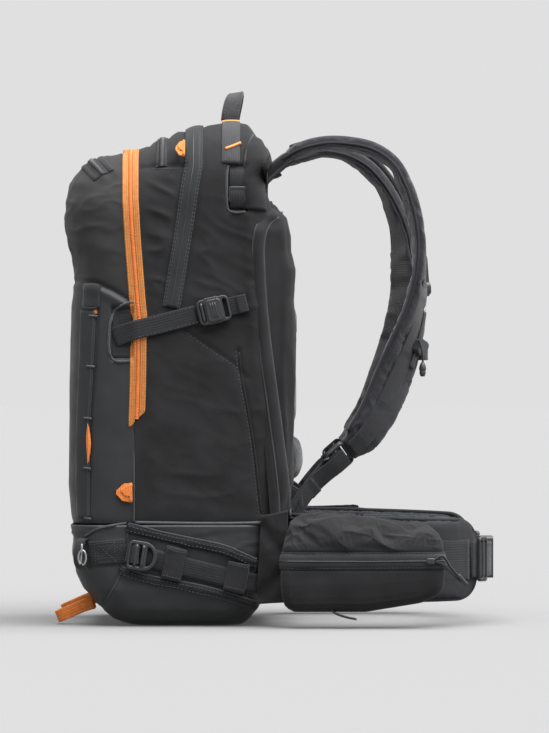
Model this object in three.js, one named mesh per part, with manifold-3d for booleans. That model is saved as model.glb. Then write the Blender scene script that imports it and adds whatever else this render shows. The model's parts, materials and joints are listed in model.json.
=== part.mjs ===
// An avalanche airbag backpack with an electric fan system, as an assembly of separate pieces.
// Millimetres. +X is the wearer's right, +Y points from the pack to the wearer, +Z is up.
// The origin lies on the flat of the base, under the load compartment.
import * as THREE from "three";
import { mergeVertices } from "three/addons/utils/BufferGeometryUtils.js";
import Module from "manifold-3d";

const wasm = await Module();
wasm.setup();

// ---- driving dimensions ----
const GAP = 0.5; // clearance between neighbouring pieces
const WALL = 3.5; // padded fabric wall
const HALF_WIDTH = 150; // pack body, from its middle plane to a side panel
const BOOT_TOP = 107; // seam between the base boot and the panels above it
const FLAP_Z = 208; // where the front panel folds open
const FLAP_Y = -122; // outer face of the front panel
const ZIP_Y = -59; // plane of the front zip
const REAR_Y = 90; // rear wall of the body
const LOW_Z = BOOT_TOP + GAP;

const STRAP_THICKNESS = 15;
const STRAP_WIDTH = 64;
const LOCK_REACH = 13; // from the end of a strap to the middle of its ladderlock
const STRAP_TWIST = (45 * Math.PI) / 180; // how far the strap has turned outward at its lower end
const STERNUM_Z = 300;
const TRIGGER_Z = 372;

const BELT_Z = 70; // height of the belt's middle line
const WING_THICKNESS = 12;
const POCKET_INNER_X = 158.8;
const POCKET_OUTER_X = 186;

const FAN = { x: -42, y: 42, z: 330, radius: 52, depth: 34 };
const DUCT = { radius: 18, bore: 16, bottom: 384.5, top: 427.5 };

// ---- materials ----
function material(color, roughness, metalness = 0) {
  return new THREE.MeshStandardMaterial({ color, roughness, metalness });
}
const PACK_FABRIC = material(0x313234, 0.85);
const TARPAULIN = material(0x2e2f31, 0.45);
const MATTE_PANEL = material(0x2b2b2d, 0.8);
const BACK_FOAM = material(0x2f3034, 0.9);
const STRAP_FABRIC = material(0x33363a, 0.85);
const WEBBING = material(0x2a2b2e, 0.8);
const GREY_WEBBING = material(0x5e5c61, 0.8);
const ORANGE = material(0xce793d, 0.7);
const BLACK_PLASTIC = material(0x1c1c1e, 0.4);
const SHEET_PLASTIC = material(0xdadad6, 0.5);
const ALUMINIUM = material(0xb4b6b8, 0.35, 1);
const STEEL = material(0x9a9a9c, 0.3, 1);
const AIRBAG_NYLON = material(0xd9601f, 0.7);

// ---- solids ----
const v = (x, y, z) => new THREE.Vector3(x, y, z);

// Joins rings of equal point counts into one closed solid whose faces point outward.
function loft(rings) {
  const count = rings[0].length;
  const points = rings.flat();
  const faces = [];
  for (let i = 0; i + 1 < rings.length; i++) {
    for (let j = 0; j < count; j++) {
      const [a, b] = [i * count + j, i * count + ((j + 1) % count)];
      faces.push(a, b, b + count, a, b + count, a + count);
    }
  }
  [0, rings.length - 1].forEach((i) => {
    const middle = rings[i].reduce((sum, p) => sum.add(p), v(0, 0, 0)).divideScalar(count);
    const centre = points.push(middle) - 1;
    for (let j = 0; j < count; j++) {
      const [a, b] = [i * count + j, i * count + ((j + 1) % count)];
      faces.push(...(i === 0 ? [centre, b, a] : [centre, a, b]));
    }
  });
  const volume = faces.reduce((sum, _, k) => {
    if (k % 3) return sum;
    const [a, b, c] = [0, 1, 2].map((n) => points[faces[k + n]]);
    return sum + a.dot(b.clone().cross(c));
  }, 0);
  const geometry = new THREE.BufferGeometry().setFromPoints(points);
  geometry.setIndex(volume < 0 ? faces.reverse() : faces);
  return geometry;
}

function toSolid(geometry) {
  const plain = geometry.clone();
  plain.deleteAttribute("normal");
  plain.deleteAttribute("uv");
  const merged = mergeVertices(plain, 1e-3);
  return new wasm.Manifold(
    new wasm.Mesh({
      numProp: 3,
      vertProperties: merged.attributes.position.array,
      triVerts: new Uint32Array(merged.index.array),
    }),
  );
}

function toGeometry(solid) {
  const mesh = solid.getMesh();
  return new THREE.BufferGeometry()
    .setAttribute("position", new THREE.BufferAttribute(mesh.vertProperties, 3))
    .setIndex(new THREE.BufferAttribute(mesh.triVerts, 1));
}

const join = (...pieces) => toGeometry(pieces.map(toSolid).reduce((a, b) => a.add(b)));
const cut = (body, ...tools) =>
  toGeometry(tools.map(toSolid).reduce((a, b) => a.subtract(b), toSolid(body)));

// A box given by its lowest and highest corners.
function box(low, high) {
  const size = high.map((h, i) => h - low[i]);
  return new THREE.BoxGeometry(...size).translate(...low.map((l, i) => l + size[i] / 2));
}

// A plate in the local XY plane with round corners, `depth` thick and centred on the plane.
function plate(width, height, depth, radius) {
  const [w, h] = [width / 2 - radius, height / 2 - radius];
  const shape = new THREE.Shape();
  shape.absarc(w, h, radius, 0, Math.PI / 2);
  shape.absarc(-w, h, radius, Math.PI / 2, Math.PI);
  shape.absarc(-w, -h, radius, Math.PI, 1.5 * Math.PI);
  shape.absarc(w, -h, radius, 1.5 * Math.PI, 2 * Math.PI);
  const geometry = new THREE.ExtrudeGeometry(shape, { depth, bevelEnabled: false, curveSegments: 4 });
  return geometry.translate(0, 0, -depth / 2);
}

// A disc or drum whose axis is local Y, from y = low to y = high.
function drum(radius, low, high, segments = 32) {
  const height = high - low;
  return new THREE.CylinderGeometry(radius, radius, height, segments).translate(0, low + height / 2, 0);
}

// An arc of a ring, from one angle to another, round a centre in two coordinates.
function arc(centreA, centreB, radius, from, to, steps) {
  return Array.from({ length: steps + 1 }, (_, i) => {
    const angle = from + ((to - from) * i) / steps;
    return [centreA + radius * Math.cos(angle), centreB + radius * Math.sin(angle)];
  });
}

// An outline seen from the front: feet and shoulders rounded by their own radii.
function frontRing({ y, bottom, top, half, shoulder, foot = 1 }) {
  const [a, b] = [half - shoulder, half - foot];
  const q = Math.PI / 2;
  return [
    ...arc(b, bottom + foot, foot, -q, 0, 2),
    ...arc(a, top - shoulder, shoulder, 0, q, 7),
    ...arc(-a, top - shoulder, shoulder, q, 2 * q, 7),
    ...arc(-b, bottom + foot, foot, 2 * q, 3 * q, 2),
  ].map(([x, z]) => v(x, y, z));
}

// An outline seen from above, with one corner radius.
function planRing({ z, x0, x1, y0, y1, radius }) {
  const q = Math.PI / 2;
  const [l, r, f, b] = [x0 + radius, x1 - radius, y0 + radius, y1 - radius];
  return [
    ...arc(r, f, radius, -q, 0, 4),
    ...arc(r, b, radius, 0, q, 4),
    ...arc(l, b, radius, q, 2 * q, 4),
    ...arc(l, f, radius, 2 * q, 3 * q, 4),
  ].map(([x, y]) => v(x, y, z));
}

const smooth = (points) => new THREE.CatmullRomCurve3(points.map((p) => v(...p)), false, "centripetal");

// The strap's own axes at a place on its curve: across its width, along it, and out of its face.
function axesOn(curve, u, side) {
  const along = curve.getTangentAt(u);
  const across = side(u, along);
  across.addScaledVector(along, -across.dot(along)).normalize();
  return { point: curve.getPointAt(u), along, across, out: across.clone().cross(along) };
}

// A strap with a flat section and eased edges along a curve.
function strap(curve, { width, thickness, side, steps = 16, edge = 0.3, from = 0, to = 1 }) {
  const size = (value, u) => (typeof value === "function" ? value(u) : value);
  const rings = Array.from({ length: steps + 1 }, (_, i) => {
    const u = from + ((to - from) * i) / steps;
    const { point, across, out } = axesOn(curve, u, side);
    const [w, t] = [size(width, u) / 2, size(thickness, u) / 2];
    const e = t * edge * 2;
    const quarter = [[w, t - e], [w - e, t]];
    const upper = [...quarter, ...quarter.map(([a, b]) => [-a, b]).reverse()];
    const section = [...upper, ...upper.map(([a, b]) => [a, -b]).reverse()];
    return section.map(([a, b]) => point.clone().addScaledVector(across, a).addScaledVector(out, b));
  });
  return loft(rings);
}

// ---- the scene graph ----
const backpack = new THREE.Group();
backpack.name = "avalanche_airbag_backpack";

function add(parent, name, geometry, look, position = [0, 0, 0], rotation = [0, 0, 0]) {
  const mesh = new THREE.Mesh(geometry, look);
  mesh.name = name;
  mesh.position.set(...position);
  mesh.rotation.set(...rotation);
  parent.add(mesh);
  return mesh;
}

// A piece set on a strap's face, turned with it: local X across, Y out of the face, Z along.
function addOnStrap(parent, name, geometry, look, curve, u, side, { shift = 0, lift = 0 }) {
  const { point, along, across, out } = axesOn(curve, u, side);
  const mesh = add(parent, name, geometry, look);
  mesh.matrix.makeBasis(across, out, along.clone());
  if (mesh.matrix.determinant() < 0) mesh.matrix.makeBasis(across, out, along.clone().negate());
  mesh.matrix.setPosition(point.addScaledVector(across, shift).addScaledVector(out, lift));
  mesh.matrixAutoUpdate = false;
  return mesh;
}

// ---- pack body ----
const insetRing = (ring, wall, changes = {}) => ({
  ...ring,
  top: ring.top - wall,
  bottom: ring.bottom + wall,
  half: ring.half - wall,
  shoulder: Math.max(ring.shoulder - wall, 0.5),
  foot: Math.max((ring.foot ?? 1) - wall, 0.5),
  ...changes,
});

function addBaseBoot() {
  const levels = [
    { z: 0, y0: -70, y1: 56, half: 112, radius: 30 },
    { z: 7, y0: -84, y1: 64, half: 126, radius: 34 },
    { z: 18, y0: -94, y1: 72, half: 136, radius: 38 },
    { z: 39, y0: -112, y1: 79, half: 144, radius: 40 },
    { z: 62, y0: -122, y1: 84, half: 147, radius: 40 },
    { z: BOOT_TOP, y0: -126, y1: 89, half: 149, radius: 36 },
  ];
  const rings = levels.map(({ half, ...level }) => planRing({ ...level, x0: -half, x1: half }));
  const inner = levels.slice(1).map(({ z, y0, y1, half, radius }, i, all) => {
    const height = i === all.length - 1 ? z + 1 : z;
    const side = half - WALL;
    const size = { x0: -side, x1: side, y0: y0 + WALL, y1: y1 - WALL, radius: radius - WALL };
    return planRing({ z: height, ...size });
  });
  add(backpack, "base_boot", cut(loft(rings), loft(inner)), TARPAULIN);
}

function addMainShell() {
  const bottom = LOW_Z;
  const stations = [
    { y: ZIP_Y + GAP, top: 504, half: HALF_WIDTH, shoulder: 78 },
    { y: -28, top: 515, half: HALF_WIDTH, shoulder: 78 },
    { y: 2, top: 528, half: HALF_WIDTH, shoulder: 78 },
    { y: 40, top: 534, half: HALF_WIDTH, shoulder: 78 },
    { y: 70, top: 532, half: 149, shoulder: 76 },
    { y: 83, top: 516, half: 143, shoulder: 70 },
    { y: REAR_Y, top: 492, half: 132, shoulder: 58 },
  ].map((station) => ({ ...station, bottom }));
  const open = stations.map((station, i) => {
    const y = i === 0 ? station.y - 1 : i === stations.length - 1 ? REAR_Y - WALL : station.y;
    return insetRing(station, WALL, { y, bottom: bottom - 1 });
  });
  const cableHole = drum(4.5, REAR_Y - 8, REAR_Y + 4, 12).translate(-45, 0, 480.3);
  const shell = cut(loft(stations.map(frontRing)), loft(open.map(frontRing)), cableHole);
  add(backpack, "main_shell", shell, PACK_FABRIC);
}

function addFrontLowerPanel() {
  const [bottom, top] = [LOW_Z, FLAP_Z - GAP];
  const stations = [
    { y: -127.5, half: 110, top: top - 3, bottom: bottom + 3 },
    { y: -124, half: 127 },
    { y: -116, half: 139 },
    { y: -98, half: 148 },
    { y: ZIP_Y, half: HALF_WIDTH },
  ].map((station) => ({ top, bottom, shoulder: 1, ...station }));
  const inner = stations.map((station, i) => {
    const y = i === stations.length - 1 ? station.y + 1 : station.y + (i === 0 ? WALL : 1.5);
    return insetRing(station, WALL, { y });
  });
  const panel = cut(loft(stations.map(frontRing)), loft(inner.map(frontRing)));
  add(backpack, "front_lower_panel", panel, TARPAULIN);
}

function addFrontPanel() {
  const bottom = FLAP_Z;
  const stations = [
    { y: FLAP_Y, half: 118, top: 456, shoulder: 52, bottom: bottom + 1 },
    { y: -116, half: 134, top: 475, shoulder: 64 },
    { y: -104, half: 145, top: 487, shoulder: 74 },
    { y: -85, half: 149, top: 496, shoulder: 78 },
    { y: ZIP_Y, half: HALF_WIDTH, top: 503.5, shoulder: 78 },
  ].map((station) => ({ bottom, ...station }));
  const inner = stations.map((station, i) => {
    const y = i === stations.length - 1 ? station.y + 1 : station.y + (i === 0 ? WALL : 1.5);
    return insetRing(station, WALL, { y });
  });
  add(backpack, "front_panel", cut(loft(stations.map(frontRing)), loft(inner.map(frontRing))), MATTE_PANEL);
  const bulge = [
    { y: FLAP_Y - GAP, half: 112, bottom: 344, top: 452, shoulder: 44, foot: 30 },
    { y: -127, half: 103, bottom: 356, top: 452, shoulder: 40, foot: 30 },
    { y: -131, half: 82, bottom: 376, top: 444, shoulder: 30, foot: 24 },
  ];
  add(backpack, "goggle_pocket", loft(bulge.map(frontRing)), MATTE_PANEL);
}

function addBackSystem() {
  const foam = [
    { z: 119, x1: 100, y1: 104 },
    { z: 132, x1: 112, y1: 113 },
    { z: 300, x1: 112, y1: 112 },
    { z: 400, x1: 106, y1: 104 },
    { z: 430, x1: 92, y1: 99 },
  ].map((level) => planRing({ ...level, x0: -level.x1, y0: REAR_Y + GAP, radius: 4 }));
  const channel = box([-11, 103, 110], [11, 120, 440]);
  add(backpack, "back_panel", cut(loft(foam), channel), BACK_FOAM);
  const lumbar = [
    { z: 25, x1: 98, y1: 106 },
    { z: 38, x1: 107, y1: 117 },
    { z: 96, x1: 107, y1: 118 },
    { z: 117, x1: 96, y1: 108 },
  ].map((level) => planRing({ ...level, x0: -level.x1, y0: REAR_Y + GAP, radius: 6 }));
  add(backpack, "lumbar_pad", loft(lumbar), BACK_FOAM);
  const sheetY = REAR_Y - WALL - 2;
  const sheet = plate(220, 320, 1.6, 25).rotateX(Math.PI / 2);
  add(backpack, "frame_sheet", sheet, SHEET_PLASTIC, [0, sheetY, 281]);
  for (const [side, x] of [["right", 62], ["left", -62]]) {
    const stay = plate(12, 320, 3, 3);
    add(backpack, `frame_stay_${side}`, stay, ALUMINIUM, [x, sheetY - 3, 285], [Math.PI / 2, 0, 0]);
  }
}

// ---- airbag system, behind the load compartment ----
function addFan() {
  const fan = new THREE.Group();
  fan.position.set(FAN.x, FAN.y, FAN.z);
  backpack.add(fan);
  const { radius, depth } = FAN;
  const outlet = drum(DUCT.bore - 3.3, 0, radius + 10, 24).rotateX(Math.PI / 2);
  outlet.translate(0, depth / 2 + 1, 0);
  const housing = cut(drum(radius, 0, depth, 48), drum(radius - 2.5, -1, depth - 2.5, 48), outlet);
  add(fan, "fan_housing", housing, BLACK_PLASTIC);
  add(fan, "fan_cover", cut(drum(radius, -3, -GAP, 48), drum(22, -4, 1, 32)), BLACK_PLASTIC);
  add(fan, "fan_motor", drum(13, 20, depth - 3, 24), ALUMINIUM);
  const blades = Array.from({ length: 9 }, (_, i) =>
    box([-1, 3, 12], [1, 17, 43]).applyMatrix4(
      new THREE.Matrix4().makeRotationY((i * 2 * Math.PI) / 9),
    ),
  );
  add(fan, "impeller", join(drum(45, 16, 19, 36), drum(15, 4, 16.5, 24), ...blades), BLACK_PLASTIC);
}

function addDuct() {
  const { radius, bore, bottom, top } = DUCT;
  const at = [FAN.x, FAN.y + FAN.depth / 2 + 1, 0];
  const seat = bottom + 14;
  const profile = [[bore, bottom], [radius, bottom], [radius, top], [bore, top], [bore, seat + 2],
    [9.5, seat + 2], [9.5, seat], [bore, seat], [bore, bottom]];
  const lathe = new THREE.LatheGeometry(profile.map(([r, h]) => new THREE.Vector2(r, h)), 28);
  add(backpack, "outlet_duct", lathe, BLACK_PLASTIC, at, [Math.PI / 2, 0, 0]);
  const flap = drum(12, seat + 2.4, seat + 3.9, 24);
  add(backpack, "non_return_flap", flap, BLACK_PLASTIC, at, [Math.PI / 2, 0, 0]);
}

function addElectronics() {
  const controls = cut(box([45, 46, 300], [115, 78, 360]), drum(7.5, 40, 51, 24).translate(80, 0, 330));
  add(backpack, "control_box", controls, BLACK_PLASTIC);
  add(backpack, "power_button", drum(7, 43.5, 48, 24), ORANGE, [80, 0, 330]);
  add(backpack, "battery_pack", plate(130, 70, 30, 8), BLACK_PLASTIC, [0, 62, 225], [Math.PI / 2, 0, 0]);
  const packet = [
    { z: 429, x1: 84, y0: -34, y1: 66 },
    { z: 440, x1: 92, y0: -42, y1: 74 },
    { z: 468, x1: 92, y0: -42, y1: 74 },
    { z: 482, x1: 78, y0: -30, y1: 62 },
  ].map((level) => planRing({ ...level, x0: -level.x1, radius: 22 }));
  add(backpack, "airbag_packet", loft(packet), AIRBAG_NYLON);
}

function tube(curve, diameter, steps) {
  const section = new THREE.Shape().absarc(0, 0, diameter / 2, 0, 2 * Math.PI);
  const settings = { extrudePath: curve, steps, bevelEnabled: false, curveSegments: 4 };
  return new THREE.ExtrudeGeometry(section, settings);
}

function addPackCable() {
  const route = [[80, 62, 361], [80, 64, 385], [58, 76, 402], [10, 78, 412], [-22, 79, 428],
    [-29, 81, 446], [-35, 80, 462], [-41, 81, 474], [-44, 86, 479], [-46, 92, 481], [-49, 95.5, 483]];
  add(backpack, "trigger_cable_pack", tube(smooth(route), 4, 40), BLACK_PLASTIC);
}

// ---- harness ----
// The middle line of each shoulder strap, and the share of its length where it starts to turn outward.
// The left one hangs slacker, nearer the pack, and turns sooner.
const STRAP_CURVES = {
  right: smooth([
    [51, 100, 496], [54, 117, 505], [57, 143, 511], [61, 170, 510], [65, 194, 504], [69, 214, 490],
    [72, 228, 466], [75, 238, 432], [77, 242, 394], [79, 240, 351], [83, 231, 308], [90, 215, 263],
    [97, 198, 224], [103, 179, 197], [105, 167, 186],
  ]),
  left: smooth([
    [51, 100, 496], [54, 117, 503], [57, 142, 507], [61, 167, 503], [65, 188, 492], [69, 205, 473],
    [72, 219, 446], [75, 226, 424], [77, 230, 396], [79, 233, 351], [83, 228, 308], [90, 214, 263],
    [97, 198, 224], [103, 179, 197], [105, 167, 186],
  ]),
};

const STRAP_TURNS_FROM = { right: 0.45, left: 0.15 };

// Across a strap, which lies flat over the shoulder and turns outward on its way down.
function strapSide(side) {
  return (u, along) => {
    const x = v(1, 0, 0);
    const out = x.clone().cross(along).normalize();
    const turn = STRAP_TWIST * THREE.MathUtils.smoothstep(u, STRAP_TURNS_FROM[side], 0.9);
    return x.multiplyScalar(Math.cos(turn)).addScaledVector(out, -Math.sin(turn));
  };
}

// The place on the falling half of a strap at a given height.
function strapAtHeight(side, z) {
  const curve = STRAP_CURVES[side];
  let [low, high] = [0.4, 1];
  while (high - low > 1e-4) {
    const middle = (low + high) / 2;
    if (curve.getPointAt(middle).z > z) low = middle;
    else high = middle;
  }
  return low;
}

function onStrap(side, u, shift, lift) {
  const { point, across, out } = axesOn(STRAP_CURVES[side], u, strapSide(side));
  return point.addScaledVector(across, shift).addScaledVector(out, lift);
}

function addShoulderStrap(half, side) {
  const curve = STRAP_CURVES[side];
  const width = (u) => STRAP_WIDTH * (u < 0.7 ? 1 : 1 - 0.9 * (u - 0.7));
  const across = strapSide(side);
  const pad = strap(curve, { width, thickness: STRAP_THICKNESS, side: across, steps: 26 });
  add(half, `shoulder_pad_${side}`, pad, STRAP_FABRIC);
  const frame = cut(
    plate(34, 24, 5, 4),
    plate(27, 4.5, 8, 1).translate(0, 6, 0),
    plate(27, 4.5, 8, 1).translate(0, -6, 0),
  ).rotateX(Math.PI / 2);
  const end = axesOn(curve, 1, across);
  const lock = addOnStrap(half, `ladderlock_${side}`, frame, BLACK_PLASTIC, curve, 1, across, {});
  lock.matrix.setPosition(end.point.clone().addScaledVector(end.along, LOCK_REACH));
  const start = end.point.clone().addScaledVector(end.along, 2 * LOCK_REACH + 1);
  const lower = smooth([start.toArray(), [114, 131, 153], [120, 118, 135], [124, 108, 119]]);
  const endSide = (u, along) => across(1, along);
  const webbing = strap(lower, { width: 25, thickness: 2, side: endSide, steps: 12 });
  add(half, `lower_webbing_${side}`, join(webbing, anchorWing()), WEBBING);
}

// The tab on the pack's lower corner that holds a shoulder strap's lower webbing.
function anchorWing() {
  const outline = [[0, 0], [22, 4], [27, 30], [4, 38]].map(([y, z]) => new THREE.Vector2(y, z));
  const wing = new THREE.ExtrudeGeometry(new THREE.Shape(outline), { depth: 4, bevelEnabled: false });
  wing.applyMatrix4(new THREE.Matrix4().makeBasis(v(0, 1, 0), v(0, 0, 1), v(1, 0, 0)));
  return wing.translate(121.5, 91, 113);
}

function addSternum(half, side) {
  const [curve, across] = [STRAP_CURVES[side], strapSide(side)];
  const u = strapAtHeight(side, STERNUM_Z);
  const lift = STRAP_THICKNESS / 2 + 5.5;
  const clip = plate(22, 14, 7, 3).rotateX(Math.PI / 2);
  const place = { shift: -12, lift };
  addOnStrap(half, `sternum_slider_${side}`, clip, BLACK_PLASTIC, curve, u, across, place);
  const root = onStrap(side, u, -26, lift);
  const bend = onStrap(side, u, -38, lift - 4);
  const [y, z] = [bend.y - 12, root.z];
  const route = smooth([root.toArray(), [bend.x, bend.y, z], [40, y + 3, z], [32, y, z], [27, y, z]]);
  const webbing = strap(route, { width: 20, thickness: 1.6, side: () => v(0, 0, 1), steps: 12 });
  add(half, `sternum_webbing_${side}`, webbing, WEBBING);
  const centre = [14, y, z];
  if (side === "right") add(half, "sternum_socket", socket(22, 8, 22), BLACK_PLASTIC, centre);
  else add(half, "sternum_plug", plug(22, 6, 20), BLACK_PLASTIC, centre);
}

// The hollow half of a side-release buckle. Its mouth looks along -X.
function socket(length, depth, height) {
  const shell = plate(length, height, depth, 3).rotateX(Math.PI / 2);
  const hollow = box(
    [-length / 2 - 1, -depth / 2 + 1.5, -height / 2 + 3],
    [length / 2 - 4, depth / 2 - 1.5, height / 2 - 3],
  );
  return cut(shell, hollow);
}

// The pronged half. Its prongs look along -X and stop short of the socket's mouth.
function plug(length, depth, height) {
  const base = box([length / 4, -depth / 2, -height / 2], [length / 2, depth / 2, height / 2]);
  const prongs = [-1, 0, 1].map((n) => {
    const z = n * (height / 2 - 3);
    return box([-length / 2 + 1, -depth / 2 + 1, z - 2], [length / 4 + 1, depth / 2 - 1, z + 2]);
  });
  return join(base, ...prongs);
}

// ---- hip belt ----
const WING_CURVE = smooth([
  [114, 102, BELT_Z], [134, 113, BELT_Z], [147, 138, BELT_Z], [152, 180, BELT_Z],
  [149, 226, BELT_Z], [135, 264, BELT_Z], [113, 290, BELT_Z],
]);
const beltSide = () => v(0, 0, -1);

function addHipWing(half, side) {
  const width = (u) => 84 - 16 * u;
  const wing = strap(WING_CURVE, { width, thickness: WING_THICKNESS, side: beltSide, steps: 22 });
  add(half, `hip_wing_${side}`, wing, BACK_FOAM);
  const levels = [
    { z: 24, x1: 176, y0: 106, y1: 256, radius: 8 },
    { z: 34, x1: 183, y0: 99, y1: 263, radius: 11 },
    { z: 58, x1: POCKET_OUTER_X, y0: 96, y1: 266, radius: 12 },
    { z: 88, x1: POCKET_OUTER_X, y0: 96, y1: 266, radius: 12 },
    { z: 106, x1: 181, y0: 99, y1: 263, radius: 10 },
    { z: 117, x1: 171, y0: 108, y1: 254, radius: 6 },
  ].map((level) => planRing({ ...level, x0: POCKET_INNER_X }));
  add(half, `hip_pocket_${side}`, loft(levels), PACK_FABRIC);
  const slider = zipSlider().rotateX(Math.PI / 2);
  add(half, `pocket_zip_slider_${side}`, slider, WEBBING, [POCKET_OUTER_X + 2.2, 248, 73]);
  const end = axesOn(WING_CURVE, 1, beltSide);
  const start = end.point.clone().addScaledVector(end.along, 1);
  const route = smooth([start.toArray(), [98, 304, BELT_Z], [78, 313, BELT_Z], [54, 316, BELT_Z]]);
  const webbing = strap(route, { width: 38, thickness: 2.4, side: beltSide, steps: 12 });
  add(half, `hip_webbing_${side}`, webbing, WEBBING);
  const centre = [28, 316, BELT_Z];
  if (side === "right") add(half, "hip_socket", socket(48, 14, 44), BLACK_PLASTIC, centre);
  else add(half, "hip_plug", plug(48, 11, 40), BLACK_PLASTIC, centre);
}

// A zip slider with its pull hanging from it: thickness along X, length along Z.
function zipSlider() {
  return join(box([-1.6, -4, -6], [1.6, 4, 6]), box([-0.9, -3, -24], [0.9, 3, -5]));
}

// ---- what hangs on the pack's sides and front ----
function addCompressionStrap(half, side) {
  const face = HALF_WIDTH + 2;
  const route = smooth([[face, -84, 303], [face, -62, 311], [face, -20, 322], [face, 6, 329]]);
  const band = strap(route, { width: 20, thickness: 1.8, side: () => v(0, -0.25, 1), steps: 8 });
  const tongue = plate(34, 18, 3, 3).rotateX(Math.PI / 2).rotateZ(Math.PI / 2).rotateX(0.25);
  tongue.translate(face + 8.2, 18, 332);
  const neck = box([face - 0.5, 1, 320], [face + 9, 4.5, 338]);
  add(half, `compression_strap_${side}`, join(band, neck, tongue), WEBBING);
  const frame = plate(34, 26, 5, 4).rotateX(Math.PI / 2).rotateZ(Math.PI / 2).rotateX(0.25);
  frame.translate(face + 2.6, 27, 334);
  const tail = strap(smooth([[face, 40, 337], [face, 48, 339], [face, 57, 341]]), {
    width: 20, thickness: 1.8, side: () => v(0, -0.25, 1), steps: 3,
  });
  add(half, `compression_buckle_${side}`, join(frame, tail), BLACK_PLASTIC);
}

function addSideBand(half, side) {
  const outline = [[-75, 60], [-67, 101], [-20, 88], [62, 62], [60, 29], [-10, 42]];
  const shape = new THREE.Shape(outline.map(([y, z]) => new THREE.Vector2(y, z)));
  const band = new THREE.ExtrudeGeometry(shape, { depth: 4, bevelEnabled: false });
  band.applyMatrix4(new THREE.Matrix4().makeBasis(v(0, 1, 0), v(0, 0, 1), v(1, 0, 0)));
  add(half, `side_band_${side}`, band.translate(HALF_WIDTH, 0, 0), WEBBING);
}

function addAxeLoop(half, side) {
  const [root, tip] = [v(0, -108, 26.5), v(0, -143, 9.5)];
  const out = tip.clone().sub(root);
  const width = v(1, 0, 0).cross(out).normalize();
  const leg = (x, t) => [x, root.y + out.y * t, root.z + out.z * t];
  const places = [[62, 0], [62, 0.6], [67, 0.92], [75, 1], [83, 0.92], [88, 0.6], [88, 0]];
  const route = smooth(places.map(([x, reach]) => leg(x, reach)));
  const loop = strap(route, { width: 14, thickness: 1.8, side: () => width.clone(), steps: 18 });
  add(half, `ice_axe_loop_${side}`, loop, ORANGE);
}

function addHaulLoop() {
  const [foot, top] = [539, 567];
  const route = smooth([[-44, 46, foot], [-42, 46, foot + 8], [-34, 45, top - 5], [-18, 44, top],
    [18, 44, top], [34, 45, top - 5], [42, 46, foot + 8], [44, 46, foot]]);
  const width = (u) => THREE.MathUtils.clamp(8 + 150 * Math.min(u, 1 - u), 8, 20);
  const across = () => v(0, 1, 0.15);
  const loop = strap(route, { width, thickness: 2.6, side: across, steps: 24 });
  add(backpack, "haul_loop", loop, GREY_WEBBING);
}

function addToolHook() {
  const ring = cut(plate(13, 34, 3, 5), plate(7, 24, 6, 3)).rotateX(Math.PI / 2).rotateZ(Math.PI / 2);
  add(backpack, "tool_hook", ring, STEEL, [149, -114, 74]);
}

function addZipSliders(half, side) {
  add(half, `front_zip_slider_${side}`, zipSlider(), ORANGE, [HALF_WIDTH + 2.2, -64, 150]);
}

function addMainZipSlider() {
  const slider = zipSlider().rotateY(-0.75);
  add(backpack, "main_zip_slider", slider, ORANGE, [137, -8, 504]);
}

// The trigger sits on the left strap; this half is mirrored, so it is built on the right.
function addTrigger(half) {
  const [curve, across] = [STRAP_CURVES.left, strapSide("left")];
  const u = strapAtHeight("left", TRIGGER_Z);
  const face = STRAP_THICKNESS / 2;
  const base = plate(34, 54, 4, 5).rotateX(Math.PI / 2);
  addOnStrap(half, "trigger_housing", base, BLACK_PLASTIC, curve, u, across, { lift: face + 3.8 });
  const grip = join(plate(22, 46, 9, 5), plate(30, 14, 9, 5).translate(0, -14, 0)).rotateX(Math.PI / 2);
  addOnStrap(half, "trigger_handle", grip, BLACK_PLASTIC, curve, u, across, { lift: face + 11 });
  const end = strapAtHeight("left", TRIGGER_Z + 30);
  const places = Array.from({ length: 16 }, (_, i) => 0.02 + ((end - 0.02) * i) / 15);
  const route = smooth(places.map((place) => onStrap("left", place, 0, face + 2.8).toArray()));
  add(half, "trigger_cable_strap", tube(route, 4, 48), BLACK_PLASTIC);
}

addBaseBoot();
addMainShell();
addFrontLowerPanel();
addFrontPanel();
addBackSystem();
addFan();
addDuct();
addElectronics();
addPackCable();
addHaulLoop();
addToolHook();
addMainZipSlider();
for (const [side, sign] of [["right", 1], ["left", -1]]) {
  const half = new THREE.Group();
  half.scale.x = sign; // the left half is the mirror image of the right
  backpack.add(half);
  addShoulderStrap(half, side);
  addSternum(half, side);
  addHipWing(half, side);
  addCompressionStrap(half, side);
  addSideBand(half, side);
  addAxeLoop(half, side);
  addZipSliders(half, side);
  if (side === "left") addTrigger(half);
}

export default backpack;
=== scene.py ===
"""An avalanche airbag backpack: the visual model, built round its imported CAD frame.

The row frame is in metres; sizes below are millimetres and are turned into metres where a mesh is made.
+X is the wearer's right, +Y points from the pack to the wearer, +Z is up.
"""
import json
import math

import bpy
import numpy as np
from mathutils import Matrix, Vector, noise
from mathutils.bvhtree import BVHTree


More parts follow.
